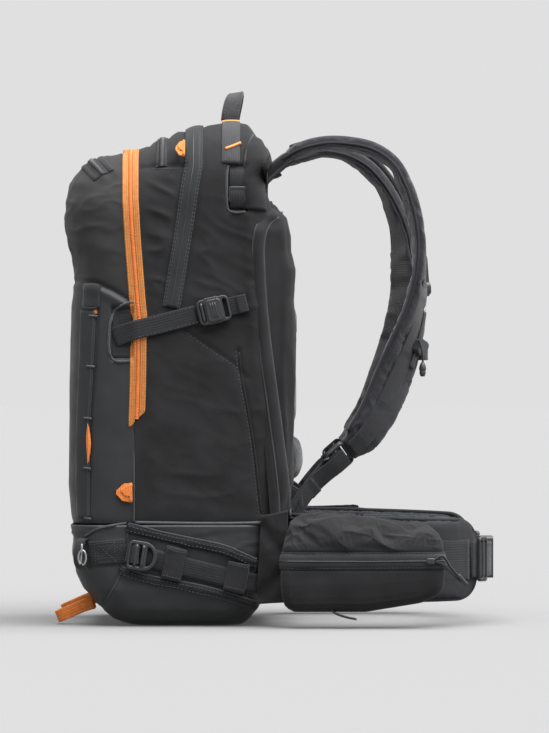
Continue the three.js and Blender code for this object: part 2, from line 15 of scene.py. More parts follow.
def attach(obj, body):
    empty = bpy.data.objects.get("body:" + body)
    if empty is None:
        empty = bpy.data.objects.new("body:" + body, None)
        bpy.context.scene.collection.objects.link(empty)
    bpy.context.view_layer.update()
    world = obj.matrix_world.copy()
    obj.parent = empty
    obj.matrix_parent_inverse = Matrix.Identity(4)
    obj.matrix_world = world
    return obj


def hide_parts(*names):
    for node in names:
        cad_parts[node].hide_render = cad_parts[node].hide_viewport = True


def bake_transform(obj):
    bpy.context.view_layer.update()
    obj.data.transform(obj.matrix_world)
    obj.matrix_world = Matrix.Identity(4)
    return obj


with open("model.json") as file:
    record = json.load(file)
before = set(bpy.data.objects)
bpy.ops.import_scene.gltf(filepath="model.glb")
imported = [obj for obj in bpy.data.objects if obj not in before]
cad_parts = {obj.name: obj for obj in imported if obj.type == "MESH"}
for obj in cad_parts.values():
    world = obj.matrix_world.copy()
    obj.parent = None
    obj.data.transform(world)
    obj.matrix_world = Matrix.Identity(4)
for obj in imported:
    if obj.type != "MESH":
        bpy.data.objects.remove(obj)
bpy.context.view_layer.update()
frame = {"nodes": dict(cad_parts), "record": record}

MM = 0.001
NODES = frame["nodes"]

# ---- driving dimensions, as in the CAD ----
ZIP_Y = -59.0  # plane of the front zip
REAR_Y = 90.0  # rear wall of the body
BOOT_TOP = 107.0  # seam between the base boot and the panels above it
HALF_WIDTH = 150.0
BELT_Z = 70.0
TRIGGER_Z = 372.0
STERNUM_Z = 300.0
STRAP_WIDTH = 64.0
STRAP_THICKNESS = 15.0
STRAP_TWIST = math.radians(45)  # how far a strap has turned outward at its lower end
WING_THICKNESS = 12.0
RIGHT = np.array([1.0, 0, 0])
UP = np.array([0, 0, 1.0])
INWARD = np.array([-1.0, 0, 0])  # from the right-hand side towards the pack


# ---- points and curves ----
def unit(vectors):
    vectors = np.asarray(vectors, float)
    return vectors / np.maximum(np.linalg.norm(vectors, axis=-1, keepdims=True), 1e-9)


def resample(points, step):
    """The same line with points every `step`."""
    points = np.asarray(points, float)
    length = np.concatenate([[0], np.cumsum(np.linalg.norm(np.diff(points, axis=0), axis=1))])
    count = max(2, int(round(length[-1] / step)) + 1)
    places = np.linspace(0, length[-1], count)
    return np.stack([np.interp(places, length, axis) for axis in points.T], -1)


def smooth(points, step=4.0):
    """Points every `step` along a centripetal Catmull-Rom curve through the given ones."""
    p = np.asarray(points, float)
    p = np.vstack([2 * p[0] - p[1], p, 2 * p[-1] - p[-2]])
    t = np.linspace(0, 1, 24, endpoint=False)[:, None]
    dense = []
    for a, b, c, d in zip(p, p[1:], p[2:], p[3:]):
        ab, bc, cd = (max(np.linalg.norm(end - start), 1e-6) ** 0.5
                      for start, end in ((a, b), (b, c), (c, d)))
        leave = ((b - a) / ab - (c - a) / (ab + bc) + (c - b) / bc) * bc
        arrive = ((c - b) / bc - (d - b) / (bc + cd) + (d - c) / cd) * bc
        dense.append(b * (2 * t**3 - 3 * t**2 + 1) + leave * (t**3 - 2 * t**2 + t)
                     + c * (3 * t**2 - 2 * t**3) + arrive * (t**3 - t**2))
    dense.append(p[-2:-1])
    return resample(np.vstack(dense), step)


def axes_along(path, side):
    """For each point of a path: across, along and out, where `side` is roughly across."""
    along = unit(np.gradient(path, axis=0))
    side = np.broadcast_to(np.asarray(side, float), path.shape)
    across = unit(side - (side * along).sum(-1, keepdims=True) * along)
    return across, along, np.cross(across, along)


def ease(x, low, high):
    """0 below low, 1 above high, and smooth in between."""
    t = np.clip((np.asarray(x, float) - low) / (high - low), 0, 1)
    return t * t * (3 - 2 * t)


def fbm(points, size, seed, octaves=3):
    """Soft noise of about -1 to 1, with features of about `size`, which may differ per axis."""
    flat = np.asarray(points, float).reshape(-1, 3) / np.asarray(size, float) + seed * 7.31
    values = [noise.fractal(Vector(p), 0.9, 2.0, octaves) for p in flat]
    return np.array(values).reshape(np.shape(points)[:-1])


def distance_to_line(a, b, line):
    """Distance in a plane from the points (a, b) to an open polyline."""
    best = np.full(np.shape(a), 1e9)
    for (a0, b0), (a1, b1) in zip(line, line[1:]):
        da, db = a1 - a0, b1 - b0
        t = np.clip(((a - a0) * da + (b - b0) * db) / (da * da + db * db), 0, 1)
        best = np.minimum(best, np.hypot(a - a0 - t * da, b - b0 - t * db))
    return best


def crease(distance, width):
    return np.exp(-(distance / width) ** 2)


# ---- meshes ----
def make_object(name, points, faces, uvs, material):
    """A smooth mesh object from points in millimetres and one UV, in metres, per face corner."""
    mesh = bpy.data.meshes.new(name)
    mesh.from_pydata((np.asarray(points, float) * MM).tolist(), [], faces)
    layer = mesh.uv_layers.new(name="UVMap")
    layer.data.foreach_set("uv", (np.asarray(uvs, float) * MM).ravel())
    mesh.shade_smooth()
    mesh.materials.append(material)
    obj = bpy.data.objects.new(name, mesh)
    bpy.context.scene.collection.objects.link(obj)
    return obj


def grid(name, points, material, around=False, capped=False, flip=False):
    """A quad mesh over an array of points; `around` closes each row on itself, `capped` fills its ends."""
    rows, cols = points.shape[:2]
    wrapped = np.concatenate([points, points[:, :1]], 1) if around else points
    u = np.concatenate([[0], np.cumsum(np.linalg.norm(np.diff(wrapped, axis=1), axis=-1).mean(0))])
    v = np.concatenate([[0], np.cumsum(np.linalg.norm(np.diff(points, axis=0), axis=-1).mean(1))])
    u -= u[-1] / 2
    i, j = (index.ravel() for index in np.indices((rows - 1, wrapped.shape[1] - 1)))
    k = (j + 1) % cols
    faces = np.stack([i * cols + j, i * cols + k, (i + 1) * cols + k, (i + 1) * cols + j], -1)
    corners = [[u[j], v[i]], [u[j + 1], v[i]], [u[j + 1], v[i + 1]], [u[j], v[i + 1]]]
    uvs = np.stack(corners, 0).transpose(2, 0, 1)
    faces, uvs = faces.tolist(), uvs.reshape(-1, 2).tolist()
    if capped:
        for row, order in ((0, range(cols - 1, -1, -1)), (rows - 1, range(cols))):
            faces.append([row * cols + n for n in order])
            uvs += [[u[n], v[row]] for n in order]
    obj = make_object(name, points.reshape(-1, 3), faces, uvs, material)
    if flip or (capped and signed_volume(obj.data) < 0):
        obj.data.flip_normals()
    return obj


def signed_volume(mesh):
    mesh.calc_loop_triangles()
    return sum(
        mesh.vertices[a].co.dot(mesh.vertices[b].co.cross(mesh.vertices[c].co))
        for a, b, c in (t.vertices for t in mesh.loop_triangles)
    )


def thicken(obj, thickness, lining=None):
    """Gives a skin its thickness, inward, with its own lining inside."""
    solid = obj.modifiers.new("thickness", "SOLIDIFY")
    solid.thickness = thickness * MM
    solid.offset = -1
    if lining:
        obj.data.materials.append(lining)
        solid.material_offset = 1
    return obj


def section(width, thickness, sides=18, corner=0.22, crown=0.55):
    """A strap's section, from the middle of its back face round to where it started."""
    angle = np.arange(sides) * 2 * math.pi / sides - math.pi / 2
    c, s = np.cos(angle), np.sin(angle)
    return np.stack([width / 2 * np.sign(c) * np.abs(c) ** corner,
                     thickness / 2 * np.sign(s) * np.abs(s) ** crown], -1)


def ribbon(name, path, side, width, thickness, material, sides=18, corner=0.22, crown=0.55):
    """A flat strap along a path that is already sampled; width and thickness may vary along it."""
    across, _, out = axes_along(path, side)
    outline = section(1, 1, sides, corner, crown)
    w = np.broadcast_to(width, len(path))[:, None, None]
    t = np.broadcast_to(thickness, len(path))[:, None, None]
    points = (path[:, None] + across[:, None] * outline[None, :, :1] * w
              + out[:, None] * outline[None, :, 1:] * t)
    return grid(name, points, material, around=True, capped=True)


def tube(name, path, radius, material, side=None, sides=10):
    """A round cord along a sampled path."""
    if side is None:
        lead = unit(path[-1] - path[0])
        side = UP if abs(lead[2]) < 0.8 else RIGHT
    return ribbon(name, path, side, 2 * radius, 2 * radius, material, sides=sides, corner=1, crown=1)


def scatter(name, unit_points, unit_faces, places, material):
    """One mesh of many small copies; each place is (origin, x axis, y axis, z axis)."""
    unit_points = np.asarray(unit_points, float)
    points = np.concatenate([o + unit_points @ np.stack([x, y, z]) for o, x, y, z in places])
    count = len(unit_points)
    faces = [[n + i * count for n in face] for i in range(len(places)) for face in unit_faces]
    uvs = np.zeros((sum(map(len, faces)), 2))
    return make_object(name, points, faces, uvs, material)


STITCH_POINTS = [(0, -0.5, 0), *[(0.5 * math.cos(a), y, 0.5 * math.sin(a))
                 for y in (-0.35, 0.35) for a in (0, 1.047, 2.094, 3.142, 4.189, 5.236)], (0, 0.5, 0)]
STITCH_FACES = ([[0, 1 + (n + 1) % 6, 1 + n] for n in range(6)]
                + [[1 + n, 1 + (n + 1) % 6, 7 + (n + 1) % 6, 7 + n] for n in range(6)]
                + [[13, 7 + n, 7 + (n + 1) % 6] for n in range(6)])
TOOTH_POINTS = [(x, y, z) for z in (-0.5, 0.5)
                for x, y in ((-0.5, -0.5), (0.5, -0.5), (0.5, 0.5), (-0.5, 0.5))]
TOOTH_FACES = [[3, 2, 1, 0], [4, 5, 6, 7], [0, 1, 5, 4], [1, 2, 6, 5], [2, 3, 7, 6], [3, 0, 4, 7]]


def stitches(name, lines, material, pitch=4.2, length=2.9, thread=0.75):
    """Rows of thread; each line is (path, outward directions)."""
    places = []
    for path, out in lines:
        path = resample(path, pitch)
        if np.ndim(out) == 1:
            out = np.broadcast_to(out, path.shape)
        else:
            out = resample(out, 1)
            out = out[np.linspace(0, len(out) - 1, len(path)).astype(int)]
        out = unit(out)
        along = unit(np.gradient(path, axis=0))
        across = unit(np.cross(along, out))
        places += [(p, x * thread, y * length, z * thread * 0.8)
                   for p, x, y, z in zip(path, across, along, out)]
    return scatter(name, STITCH_POINTS, STITCH_FACES, places, material)


def rounded(width, height, radius, x=0.0, y=0.0, steps=5):
    """A closed outline: a rectangle with round corners."""
    w, h = width / 2 - radius, height / 2 - radius
    corners = ((w, h, 0), (-w, h, 90), (-w, -h, 180), (w, -h, 270))
    return [(x + a + radius * math.cos(math.radians(start + 90 * n / steps)),
             y + b + radius * math.sin(math.radians(start + 90 * n / steps)))
            for a, b, start in corners for n in range(steps + 1)]


def moulding(name, outlines, thickness, bevel, material, origin, across, up):
    """A moulded plate with eased edges: closed outlines in its own plane, the holes among them."""
    curve = bpy.data.curves.new(name, "CURVE")
    curve.dimensions = "2D"
    curve.fill_mode = "BOTH"
    curve.extrude = thickness / 2 - bevel
    curve.bevel_depth = bevel
    curve.bevel_resolution = 2
    curve.offset = -bevel
    for outline in outlines:
        spline = curve.splines.new("POLY")
        spline.points.add(len(outline) - 1)
        spline.points.foreach_set("co", np.array([(a, b, 0, 1) for a, b in outline]).ravel())
        spline.use_cyclic_u = True
    holder = bpy.data.objects.new(name, curve)
    bpy.context.scene.collection.objects.link(holder)
    bpy.context.view_layer.update()
    mesh = bpy.data.meshes.new_from_object(holder.evaluated_get(bpy.context.evaluated_depsgraph_get()))
    bpy.data.objects.remove(holder)
    across, up = unit(across), unit(up)
    up = unit(up - up.dot(across) * across)
    basis = np.stack([across, up, np.cross(across, up)])
    points = np.array([v.co for v in mesh.vertices]) @ basis + np.asarray(origin, float)
    faces = [list(p.vertices) for p in mesh.polygons]
    uvs = np.concatenate([points[f][:, 1:] for f in faces])
    obj = make_object(name, points, faces, uvs, material)
    obj.data.shade_flat()
    weld = obj.modifiers.new("weld", "WELD")
    weld.merge_threshold = 0.01 * MM
    return obj


def drape_tree(*objects):
    """A ray target made of finished skins, in millimetres."""
    points, faces = [], []
    for obj in objects:
        start = len(points)
        points += [v.co / MM for v in obj.data.vertices]
        faces += [[n + start for n in p.vertices] for p in obj.data.polygons]
    return BVHTree.FromPolygons(points, faces)


def drape(tree, points, direction, reach=70.0):
    """Where rays along `direction` meet the skins, and which way those face. Misses keep their place."""
    points = np.asarray(points, float)
    direction = np.broadcast_to(unit(direction), points.shape)
    found, facing = points.copy(), -direction.copy()
    for n in np.ndindex(points.shape[:-1]):
        start = Vector(points[n] - direction[n] * reach)
        place, normal, _, _ = tree.ray_cast(start, Vector(direction[n]), 2 * reach)
        if place is not None:
            found[n] = place
            facing[n] = normal if normal.dot(Vector(direction[n])) < 0 else -normal
    return found, facing


def soften(vectors, passes=2):
    for _ in range(passes):
        padded = np.concatenate([vectors[:1], vectors, vectors[-1:]])
        vectors = (padded[:-2] + 2 * vectors + padded[2:]) / 4
    return vectors


def draped_band(name, tree, path, width, thickness, material, direction=INWARD, lift=0.0, cols=9, crown=0.0):
    """A strip sewn onto the skins. Its two faces are `thickness` apart, the upper one crowned."""
    width = np.broadcast_to(width, len(path))[:, None, None]
    along = unit(np.gradient(path, axis=0))
    across = unit(np.cross(np.broadcast_to(direction, path.shape), along))
    share = np.linspace(-0.5, 0.5, cols)
    places = path[:, None] + across[:, None] * share[None, :, None] * width
    rays = np.broadcast_to(np.asarray(direction, float)[:, None] if np.ndim(direction) > 1 else direction,
                           places.shape)
    places, facing = drape(tree, places, rays)
    facing = unit(soften(facing))
    rise = thickness * (0.55 + 0.45 * (1 - (2 * share) ** 6)) + crown * (1 - (2 * share) ** 2)
    upper = places + facing * (lift + rise)[None, :, None]
    lower = places + facing * (lift - 0.2)
    points = np.concatenate([upper, lower[:, ::-1]], 1)
    obj = grid(name, points, material, around=True, capped=True)
    return obj


def draped_line(tree, path, direction=INWARD, lift=0.0):
    """A line on the skins, and which way it faces."""
    places, facing = drape(tree, path, direction)
    facing = unit(soften(facing))
    return soften(places, 1) + facing * lift, facing


# ---- settling pieces on their bodies ----
def settle(obj, body, *nodes, slot=None, fill=None, span=None):
    """Rides a finished piece on its body, or, given a span, bakes its place into its mesh, and hides the CAD
    nodes it stands for.
    """
    if span:
        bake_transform(obj)
    else:
        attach(obj, body)
    if nodes:
        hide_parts(*nodes)
    return obj


def mirrored(obj, name):
    twin = obj.copy()
    twin.data = obj.data.copy()
    twin.name = name
    twin.data.name = name
    bpy.context.scene.collection.objects.link(twin)
    twin.data.transform(Matrix.Scale(-1, 4, (1, 0, 0)))
    twin.data.flip_normals()
    return twin


def settle_pair(obj, body, *nodes, span=None, **facts):
    """A piece for the right-hand side and its mirror image for the left."""
    name = obj.name
    twin = mirrored(obj, f"{name}_left")
    obj.name = f"{name}_right"
    for side, piece, sign in (("right", obj, 1), ("left", twin, -1)):
        bodies = body.format(side=side) if isinstance(body, str) else [b.format(side=side) for b in body]
        turned = span and [(sign * x, y, z) for x, y, z in span]
        settle(piece, bodies, *(n.format(side=side) for n in nodes), span=turned, **facts)
    return obj, twin


FOLD = dict(body=("pack", "front_flap"), span=((0, -122, 190), (0, -122, 226)))


CLOTH_QUALITY = 6
CLOTH_MASS = 0.25
CLOTH_BENDING = 0.4


def puff(obj, pinned, pressure, growth=0.0, cap=6.0, frames=20, stiffness=12.0):
    """Fills a piece like a pad: a short cloth run whose pinned points, its seams, stay where they are."""
    group = obj.vertex_groups.new(name="seams")
    for index in np.flatnonzero(pinned > 0):
        group.add([int(index)], float(pinned[index]), "REPLACE")
    cloth = obj.modifiers.new("cloth", "CLOTH")
    cloth.settings.quality = CLOTH_QUALITY
    cloth.settings.mass = CLOTH_MASS
    cloth.settings.tension_stiffness = stiffness
    cloth.settings.compression_stiffness = stiffness
    cloth.settings.bending_stiffness = CLOTH_BENDING
    cloth.settings.shrink_min = -growth
    cloth.settings.use_pressure = pressure != 0
    cloth.settings.uniform_pressure_force = pressure
    cloth.settings.vertex_group_mass = group.name
    cloth.settings.effector_weights.gravity = 0
    cloth.collision_settings.use_collision = False
    cloth.point_cache.frame_start = 1
    cloth.point_cache.frame_end = frames
    before = np.array([v.co for v in obj.data.vertices])
    for number in range(1, frames + 1):
        bpy.context.scene.frame_set(number)
    shown = obj.evaluated_get(bpy.context.evaluated_depsgraph_get())
    after = np.array([v.co for v in shown.data.vertices])
    obj.modifiers.remove(cloth)
    obj.vertex_groups.remove(group)
    move = np.nan_to_num(after - before)
    size = np.linalg.norm(move, axis=1, keepdims=True)
    move *= np.minimum(1, cap * MM / np.maximum(size, 1e-9))
    obj.data.vertices.foreach_set("co", (before + move).ravel())
    obj.data.update()
    return obj


# ---- materials ----
class Finish:
    """A principled material while it is built."""

    def __init__(self, name, roughness, **sockets):
        self.material = bpy.data.materials.new(name)
        self.material.use_nodes = True
        self.tree = self.material.node_tree
        self.shader = self.tree.nodes["Principled BSDF"]
        self.set(self.shader, {"Roughness": roughness, **sockets})

    def set(self, node, values):
        for socket, value in values.items():
            if isinstance(value, bpy.types.NodeSocket):
                self.tree.links.new(value, node.inputs[socket])
            else:
                node.inputs[socket].default_value = value

    def node(self, kind, values=None, out=0, **settings):
        node = self.tree.nodes.new(kind)
        for key, value in settings.items():
            setattr(node, key, value)
        self.set(node, values or {})
        return node.outputs[out]

    def math(self, operation, a, b=0.0):
        return self.node("ShaderNodeMath", {0: a, 1: b}, operation=operation)

    def mix(self, factor, a, b):
        return self.node("ShaderNodeMix", {0: factor, 6: a, 7: b}, out=2, data_type="RGBA")

    def place(self, kind="UV"):
        return self.node("ShaderNodeTexCoord", out=("UV" if kind == "UV" else "Object"))

    def noise(self, place, size, detail=3.0, low=0.0, high=1.0):
        raw = self.node("ShaderNodeTexNoise", {"Vector": place, "Scale": 1 / (size * MM), "Detail": detail})
        return self.node("ShaderNodeMapRange", {"Value": raw, "From Min": 0.3, "From Max": 0.7,
                                                "To Min": low, "To Max": high})

    def bands(self, place, axis, period):
        """A sine wave along one axis with the given period."""
        return self.node("ShaderNodeTexWave", {"Vector": place, "Scale": math.pi / 10 / (period * MM)},
                         bands_direction=axis)

    def edges(self, low=0.53, high=0.62):
        """1 on worn convex edges and 0 elsewhere."""
        bend = self.node("ShaderNodeNewGeometry", out="Pointiness")
        return self.node("ShaderNodeMapRange", {"Value": bend, "From Min": low, "From Max": high})

    def relief(self, height, depth, strength=0.6):
        self.set(self.shader, {"Normal": self.node("ShaderNodeBump", {
            "Height": height, "Distance": depth * MM, "Strength": strength})})

    def colour(self, value):
        self.set(self.shader, {"Base Color": value})
        return self.material


def shade(colour, factor):
    return (*(min(1.0, c * factor) for c in colour), 1.0)


def woven(name, colour, thread=0.7, roughness=0.85, sheen=0.06, depth=0.16, blotch=0.22,
          ripstop=0.0, wear=0.5):
    """Plain-weave fabric: threads over and under, heathered, faded along its edges."""
    f = Finish(name, roughness, **{"Sheen Weight": sheen, "Sheen Roughness": 0.5, "Specular IOR Level": 0.14})
    uv, space = f.place(), f.place("Object")
    over = f.node("ShaderNodeTexChecker", {"Vector": uv, "Scale": 1 / (thread * MM)}, out=1)
    warp, weft = f.bands(uv, "X", thread), f.bands(uv, "Y", thread)
    threads = f.node("ShaderNodeMix", {0: over, 2: warp, 3: weft}, out=0)
    if ripstop:
        ribs = f.math("MAXIMUM", f.bands(uv, "X", ripstop), f.bands(uv, "Y", ripstop))
        ribs = f.node("ShaderNodeMapRange", {"Value": ribs, "From Min": 0.9, "From Max": 1.0, "To Max": 0.8})
        threads = f.math("ADD", threads, ribs)
    fibre = f.noise(uv, 1.6, 4, 1 - 0.5 * blotch, 1 + 0.5 * blotch)
    patch = f.noise(space, 38, 3, 1 - blotch, 1 + blotch)
    lit = f.node("ShaderNodeMapRange", {"Value": threads, "To Min": 0.7, "To Max": 1.2})
    tone = f.math("MULTIPLY", f.math("MULTIPLY", fibre, patch), lit)
    base = f.node("ShaderNodeMix", {0: tone, 6: shade(colour, 0), 7: shade(colour, 1)}, out=2,
                  data_type="RGBA", clamp_factor=False)
    worn = f.math("MULTIPLY", f.edges(), wear)
    f.relief(f.math("ADD", threads, f.noise(uv, 2.4, 2, -0.3, 0.3)), depth)
    return f.colour(f.mix(worn, base, shade(colour, 2.1)))


def coated(name, colour, roughness=0.42, depth=0.1, grain=0.8):
    """Coated tarpaulin or laminated panel: smooth, faintly pebbled, scuffed where it bends."""
    f = Finish(name, roughness, **{"Specular IOR Level": 0.27, "Coat Weight": 0.05, "Coat Roughness": 0.35})
    uv, space = f.place(), f.place("Object")
    pebble = f.noise(uv, grain, 2)
    cross = f.math("MAXIMUM", f.bands(uv, "X", 1.1), f.bands(uv, "Y", 1.1))
    patch = f.noise(space, 45, 4, 0.86, 1.14)
    base = f.node("ShaderNodeMix", {0: patch, 6: shade(colour, 0), 7: shade(colour, 1)}, out=2,
                  data_type="RGBA", clamp_factor=False)
    scuff = f.math("MULTIPLY", f.edges(), 0.6)
    gloss = f.noise(space, 22, 4, roughness - 0.07, roughness + 0.1)
    f.set(f.shader, {"Roughness": gloss})
    f.relief(f.math("ADD", pebble, f.math("MULTIPLY", cross, 0.5)), depth)
    return f.colour(f.mix(scuff, base, shade(colour, 2.2)))


def webbing(name, colour, rib=1.5, roughness=0.8, depth=0.28):
    """Herringbone webbing: ribs slant away from the middle on both sides."""
    f = Finish(name, roughness, **{"Sheen Weight": 0.1, "Specular IOR Level": 0.18})
    uv = f.place()
    u = f.node("ShaderNodeSeparateXYZ", {0: uv}, out=0)
    v = f.node("ShaderNodeSeparateXYZ", {0: uv}, out=1)
    slant = f.math("ADD", f.math("ABSOLUTE", u), f.math("MULTIPLY", v, 0.9))
    line = f.node("ShaderNodeCombineXYZ", {0: slant})
    ribs = f.bands(line, "X", rib)
    cords = f.bands(uv, "X", 2.6)
    tone = f.node("ShaderNodeMapRange", {"Value": f.math("ADD", ribs, f.math("MULTIPLY", cords, 0.5)),
                                         "From Max": 1.5, "To Min": 0.62, "To Max": 1.25})
    tone = f.math("MULTIPLY", tone, f.noise(uv, 5, 4, 0.85, 1.15))
    base = f.node("ShaderNodeMix", {0: tone, 6: shade(colour, 0), 7: shade(colour, 1)}, out=2,
                  data_type="RGBA", clamp_factor=False)
    f.relief(f.math("ADD", ribs, cords), depth)
    return f.colour(base)


def spacer_mesh(name, colour, hole=2.4):
    """Knitted spacer mesh: rows of open cells, darkened inside as painted shade in the holes."""
    f = Finish(name, 0.9, **{"Sheen Weight": 0.25, "Specular IOR Level": 0.15})
    uv = f.place()
    cells = f.node("ShaderNodeTexVoronoi", {"Vector": uv, "Scale": 1 / (hole * MM), "Randomness": 0.25})
    open_cell = f.node("ShaderNodeMapRange", {"Value": cells, "From Min": 0.12, "From Max": 0.42})
    yarn = f.noise(uv, 1.2, 3, 0.8, 1.2)
    # the cells' middles take 0.35 of the colour: painted shade inside the holes
    base = f.mix(open_cell, shade(colour, 0.35), shade(colour, 1.15))
    tone = f.node("ShaderNodeMix", {0: yarn, 6: shade(colour, 0), 7: base}, out=2,
                  data_type="RGBA", clamp_factor=False)
    f.relief(f.math("ADD", open_cell, f.math("MULTIPLY", yarn, 0.3)), 0.5, 0.8)
    return f.colour(tone)


def moulded(name, colour, roughness=0.4, grain=0.5, wear=0.5):
    """Moulded plastic: a fine spark texture, rubbed brighter along its edges."""
    f = Finish(name, roughness, **{"Specular IOR Level": 0.45})
    space = f.place("Object")
    speck = f.noise(space, grain, 2)
    patch = f.noise(space, 9, 4, 0.85, 1.2)
    f.set(f.shader, {"Roughness": f.noise(space, 4, 3, roughness - 0.06, roughness + 0.12)})
    base = f.node("ShaderNodeMix", {0: patch, 6: shade(colour, 0), 7: shade(colour, 1)}, out=2,
                  data_type="RGBA", clamp_factor=False)
    f.relief(speck, 0.06, 0.5)
    return f.colour(f.mix(f.math("MULTIPLY", f.edges(0.52, 0.6), wear), base, shade(colour, 2.4)))


def metal(name, colour, roughness=0.3, streak=0.6):
    """Brushed or drawn metal with small scratches."""
    f = Finish(name, roughness, Metallic=1.0)
    space = f.place("Object")
    fine = f.node("ShaderNodeMapping", {0: space, 3: (1, 1, 0.06)})
    lines = f.noise(fine, streak, 3, 0.8, 1.15)
    base = f.node("ShaderNodeMix", {0: lines, 6: shade(colour, 0), 7: shade(colour, 1)}, out=2,
                  data_type="RGBA", clamp_factor=False)
    f.set(f.shader, {"Roughness": f.noise(space, 3, 4, roughness - 0.08, roughness + 0.15)})
    f.relief(lines, 0.03, 0.4)
    return f.colour(base)


PACK_FABRIC = woven("pack_fabric", (0.0125, 0.0126, 0.0136))
MATTE_PANEL = woven("matte_panel", (0.019, 0.0185, 0.0195), thread=0.5, depth=0.1, blotch=0.12,
                    roughness=0.75)
LINING = woven("lining", (0.03, 0.031, 0.033), thread=0.4, roughness=0.6, ripstop=5.0, sheen=0.05, depth=0.08)
TARPAULIN = coated("tarpaulin", (0.0185, 0.0195, 0.0205))
SATIN_PANEL = coated("satin_panel", (0.0135, 0.014, 0.0153), roughness=0.55, depth=0.06)
STRAP_FABRIC = woven("strap_fabric", (0.0125, 0.0128, 0.0155), thread=0.6, sheen=0.16)
STRAP_EDGE = woven("strap_edge", (0.0115, 0.012, 0.0142), thread=0.45, roughness=0.7)
STRAP_MESH = spacer_mesh("strap_mesh", (0.032, 0.031, 0.037))
BACK_MESH = spacer_mesh("back_mesh", (0.026, 0.028, 0.033), hole=2.8)
BACK_FOAM = woven("back_foam", (0.0165, 0.017, 0.0195), thread=1.1, depth=0.25)
LIGHT_PIPING = woven("strap_piping", (0.034, 0.0335, 0.039), thread=0.5, roughness=0.6, sheen=0.25)
PIPING = woven("piping", (0.024, 0.024, 0.028), thread=0.5, roughness=0.6, sheen=0.25)
BLACK_WEBBING = webbing("webbing_black", (0.0145, 0.015, 0.017))
GREY_WEBBING = webbing("webbing_grey", (0.03, 0.0295, 0.032))
ORANGE_WEBBING = webbing("webbing_orange", (0.52, 0.145, 0.027), rib=1.3, roughness=0.7)
ORANGE_TAPE = webbing("zip_tape_orange", (0.33, 0.125, 0.029), rib=0.9, roughness=0.7, depth=0.15)
ORANGE_COIL = moulded("zip_coil_orange", (0.4, 0.1, 0.016), roughness=0.45, wear=0.3)
BLACK_TAPE = woven("zip_tape_black", (0.0165, 0.0175, 0.0185), thread=0.45, depth=0.08, roughness=0.7)
BLACK_COIL = moulded("zip_coil_black", (0.014, 0.0145, 0.0155), roughness=0.38)
BLACK_PLASTIC = moulded("plastic_black", (0.013, 0.0135, 0.0145), roughness=0.36)
ORANGE_PLASTIC = moulded("plastic_orange", (0.62, 0.16, 0.025), roughness=0.38)
SHEET_PLASTIC = moulded("sheet_plastic", (0.62, 0.62, 0.58), roughness=0.45)
AIRBAG_NYLON = woven("airbag_nylon", (0.6, 0.12, 0.02), thread=0.4, roughness=0.55, ripstop=4.5, depth=0.08)
ALUMINIUM = metal("aluminium", (0.62, 0.63, 0.64))
STEEL = metal("steel", (0.34, 0.34, 0.35), roughness=0.3)
DARK_THREAD = moulded("thread_dark", (0.03, 0.031, 0.034), roughness=0.6, wear=0)
GREY_THREAD = moulded("thread_grey", (0.03, 0.03, 0.033), roughness=0.6, wear=0)
ORANGE_THREAD = moulded("thread_orange", (0.6, 0.18, 0.035), roughness=0.6, wear=0)

CAD_FINISHES = {
    "plastic_black": BLACK_PLASTIC, "plastic_orange": ORANGE_PLASTIC, "sheet_plastic": SHEET_PLASTIC,
    "aluminium": ALUMINIUM, "steel": STEEL, "airbag_nylon": AIRBAG_NYLON, "webbing_black": BLACK_WEBBING,
    "webbing_grey": GREY_WEBBING, "webbing_orange": ORANGE_PLASTIC, "pack_fabric": PACK_FABRIC,
    "tarpaulin": TARPAULIN, "matte_panel": MATTE_PANEL, "back_foam": BACK_FOAM, "strap_fabric": STRAP_FABRIC,
}


def finish_cad_nodes():
    """Gives every CAD node the finish of its slot, and eases the edges of the hard ones."""
    for part in frame["record"]["subparts"]:
        node = NODES[part["node"]]
        node.data.materials.clear()
        node.data.materials.append(CAD_FINISHES[part["material_slot"]])
        bevel = node.modifiers.new("eased edges", "BEVEL")
        bevel.width = 0.5 * MM
        bevel.segments = 2
        bevel.limit_method = "ANGLE"
        bevel.angle_limit = math.radians(40)


# ---- stage: camera, light and floor ----
BACKGROUND = 0.745  # the studio's pale grey
FLOOR_ALBEDO = 0.1675
FLOOR_GLOW = 0.06


def set_stage():
    scene = bpy.context.scene
    scene.view_settings.view_transform = "Standard"
    lens = bpy.data.cameras.new("camera")
    lens.sensor_width = 36
    lens.lens = 257
    lens.clip_end = 200
    camera = bpy.data.objects.new("camera", lens)
    camera.location = (5.65, 0.089, 0.274)
    camera.rotation_euler = (math.pi / 2, 0, math.pi / 2)
    scene.collection.objects.link(camera)
    scene.camera = camera

    world = bpy.data.worlds.new("studio")
    world.use_nodes = True
    world.node_tree.nodes["Background"].inputs["Color"].default_value = (BACKGROUND,) * 3 + (1,)
    scene.world = world

    for name, strength, spread, turn in (("top_light", 11.0, 75, (-14, 14, 0)),
                                         ("front_light", 0.6, 60, (-62, 24, 0))):
        sun = bpy.data.lights.new(name, "SUN")
        sun.energy = strength
        sun.angle = math.radians(spread)
        light = bpy.data.objects.new(name, sun)
        light.rotation_euler = [math.radians(angle) for angle in turn]
        scene.collection.objects.link(light)

    floor = Finish("floor", 0.9, **{"Specular IOR Level": 0.0, "Emission Strength": FLOOR_GLOW,
                                    "Emission Color": (1, 1, 1, 1)})
    floor.colour((FLOOR_ALBEDO,) * 3 + (1,))
    floor.material.cycles.emission_sampling = "NONE"
    angles = np.linspace(0, 2 * math.pi, 96, endpoint=False)
    rim = np.stack([30000 * np.cos(angles), 30000 * np.sin(angles), np.full(96, -0.4)], -1)
    disc = make_object("floor", rim, [list(range(96))], rim[:, :2], floor.material)


# ---- the pack's outer shape ----
# Sections across the pack: place along Y, then top, half width and shoulder radius.
SECTIONS = np.array([
    (-59, 504, 150, 78), (-28, 515, 150, 78), (2, 528, 150, 78), (40, 534, 150, 78),
    (70, 532, 149, 76), (83, 516, 143, 70), (90, 492, 132, 58)], float)
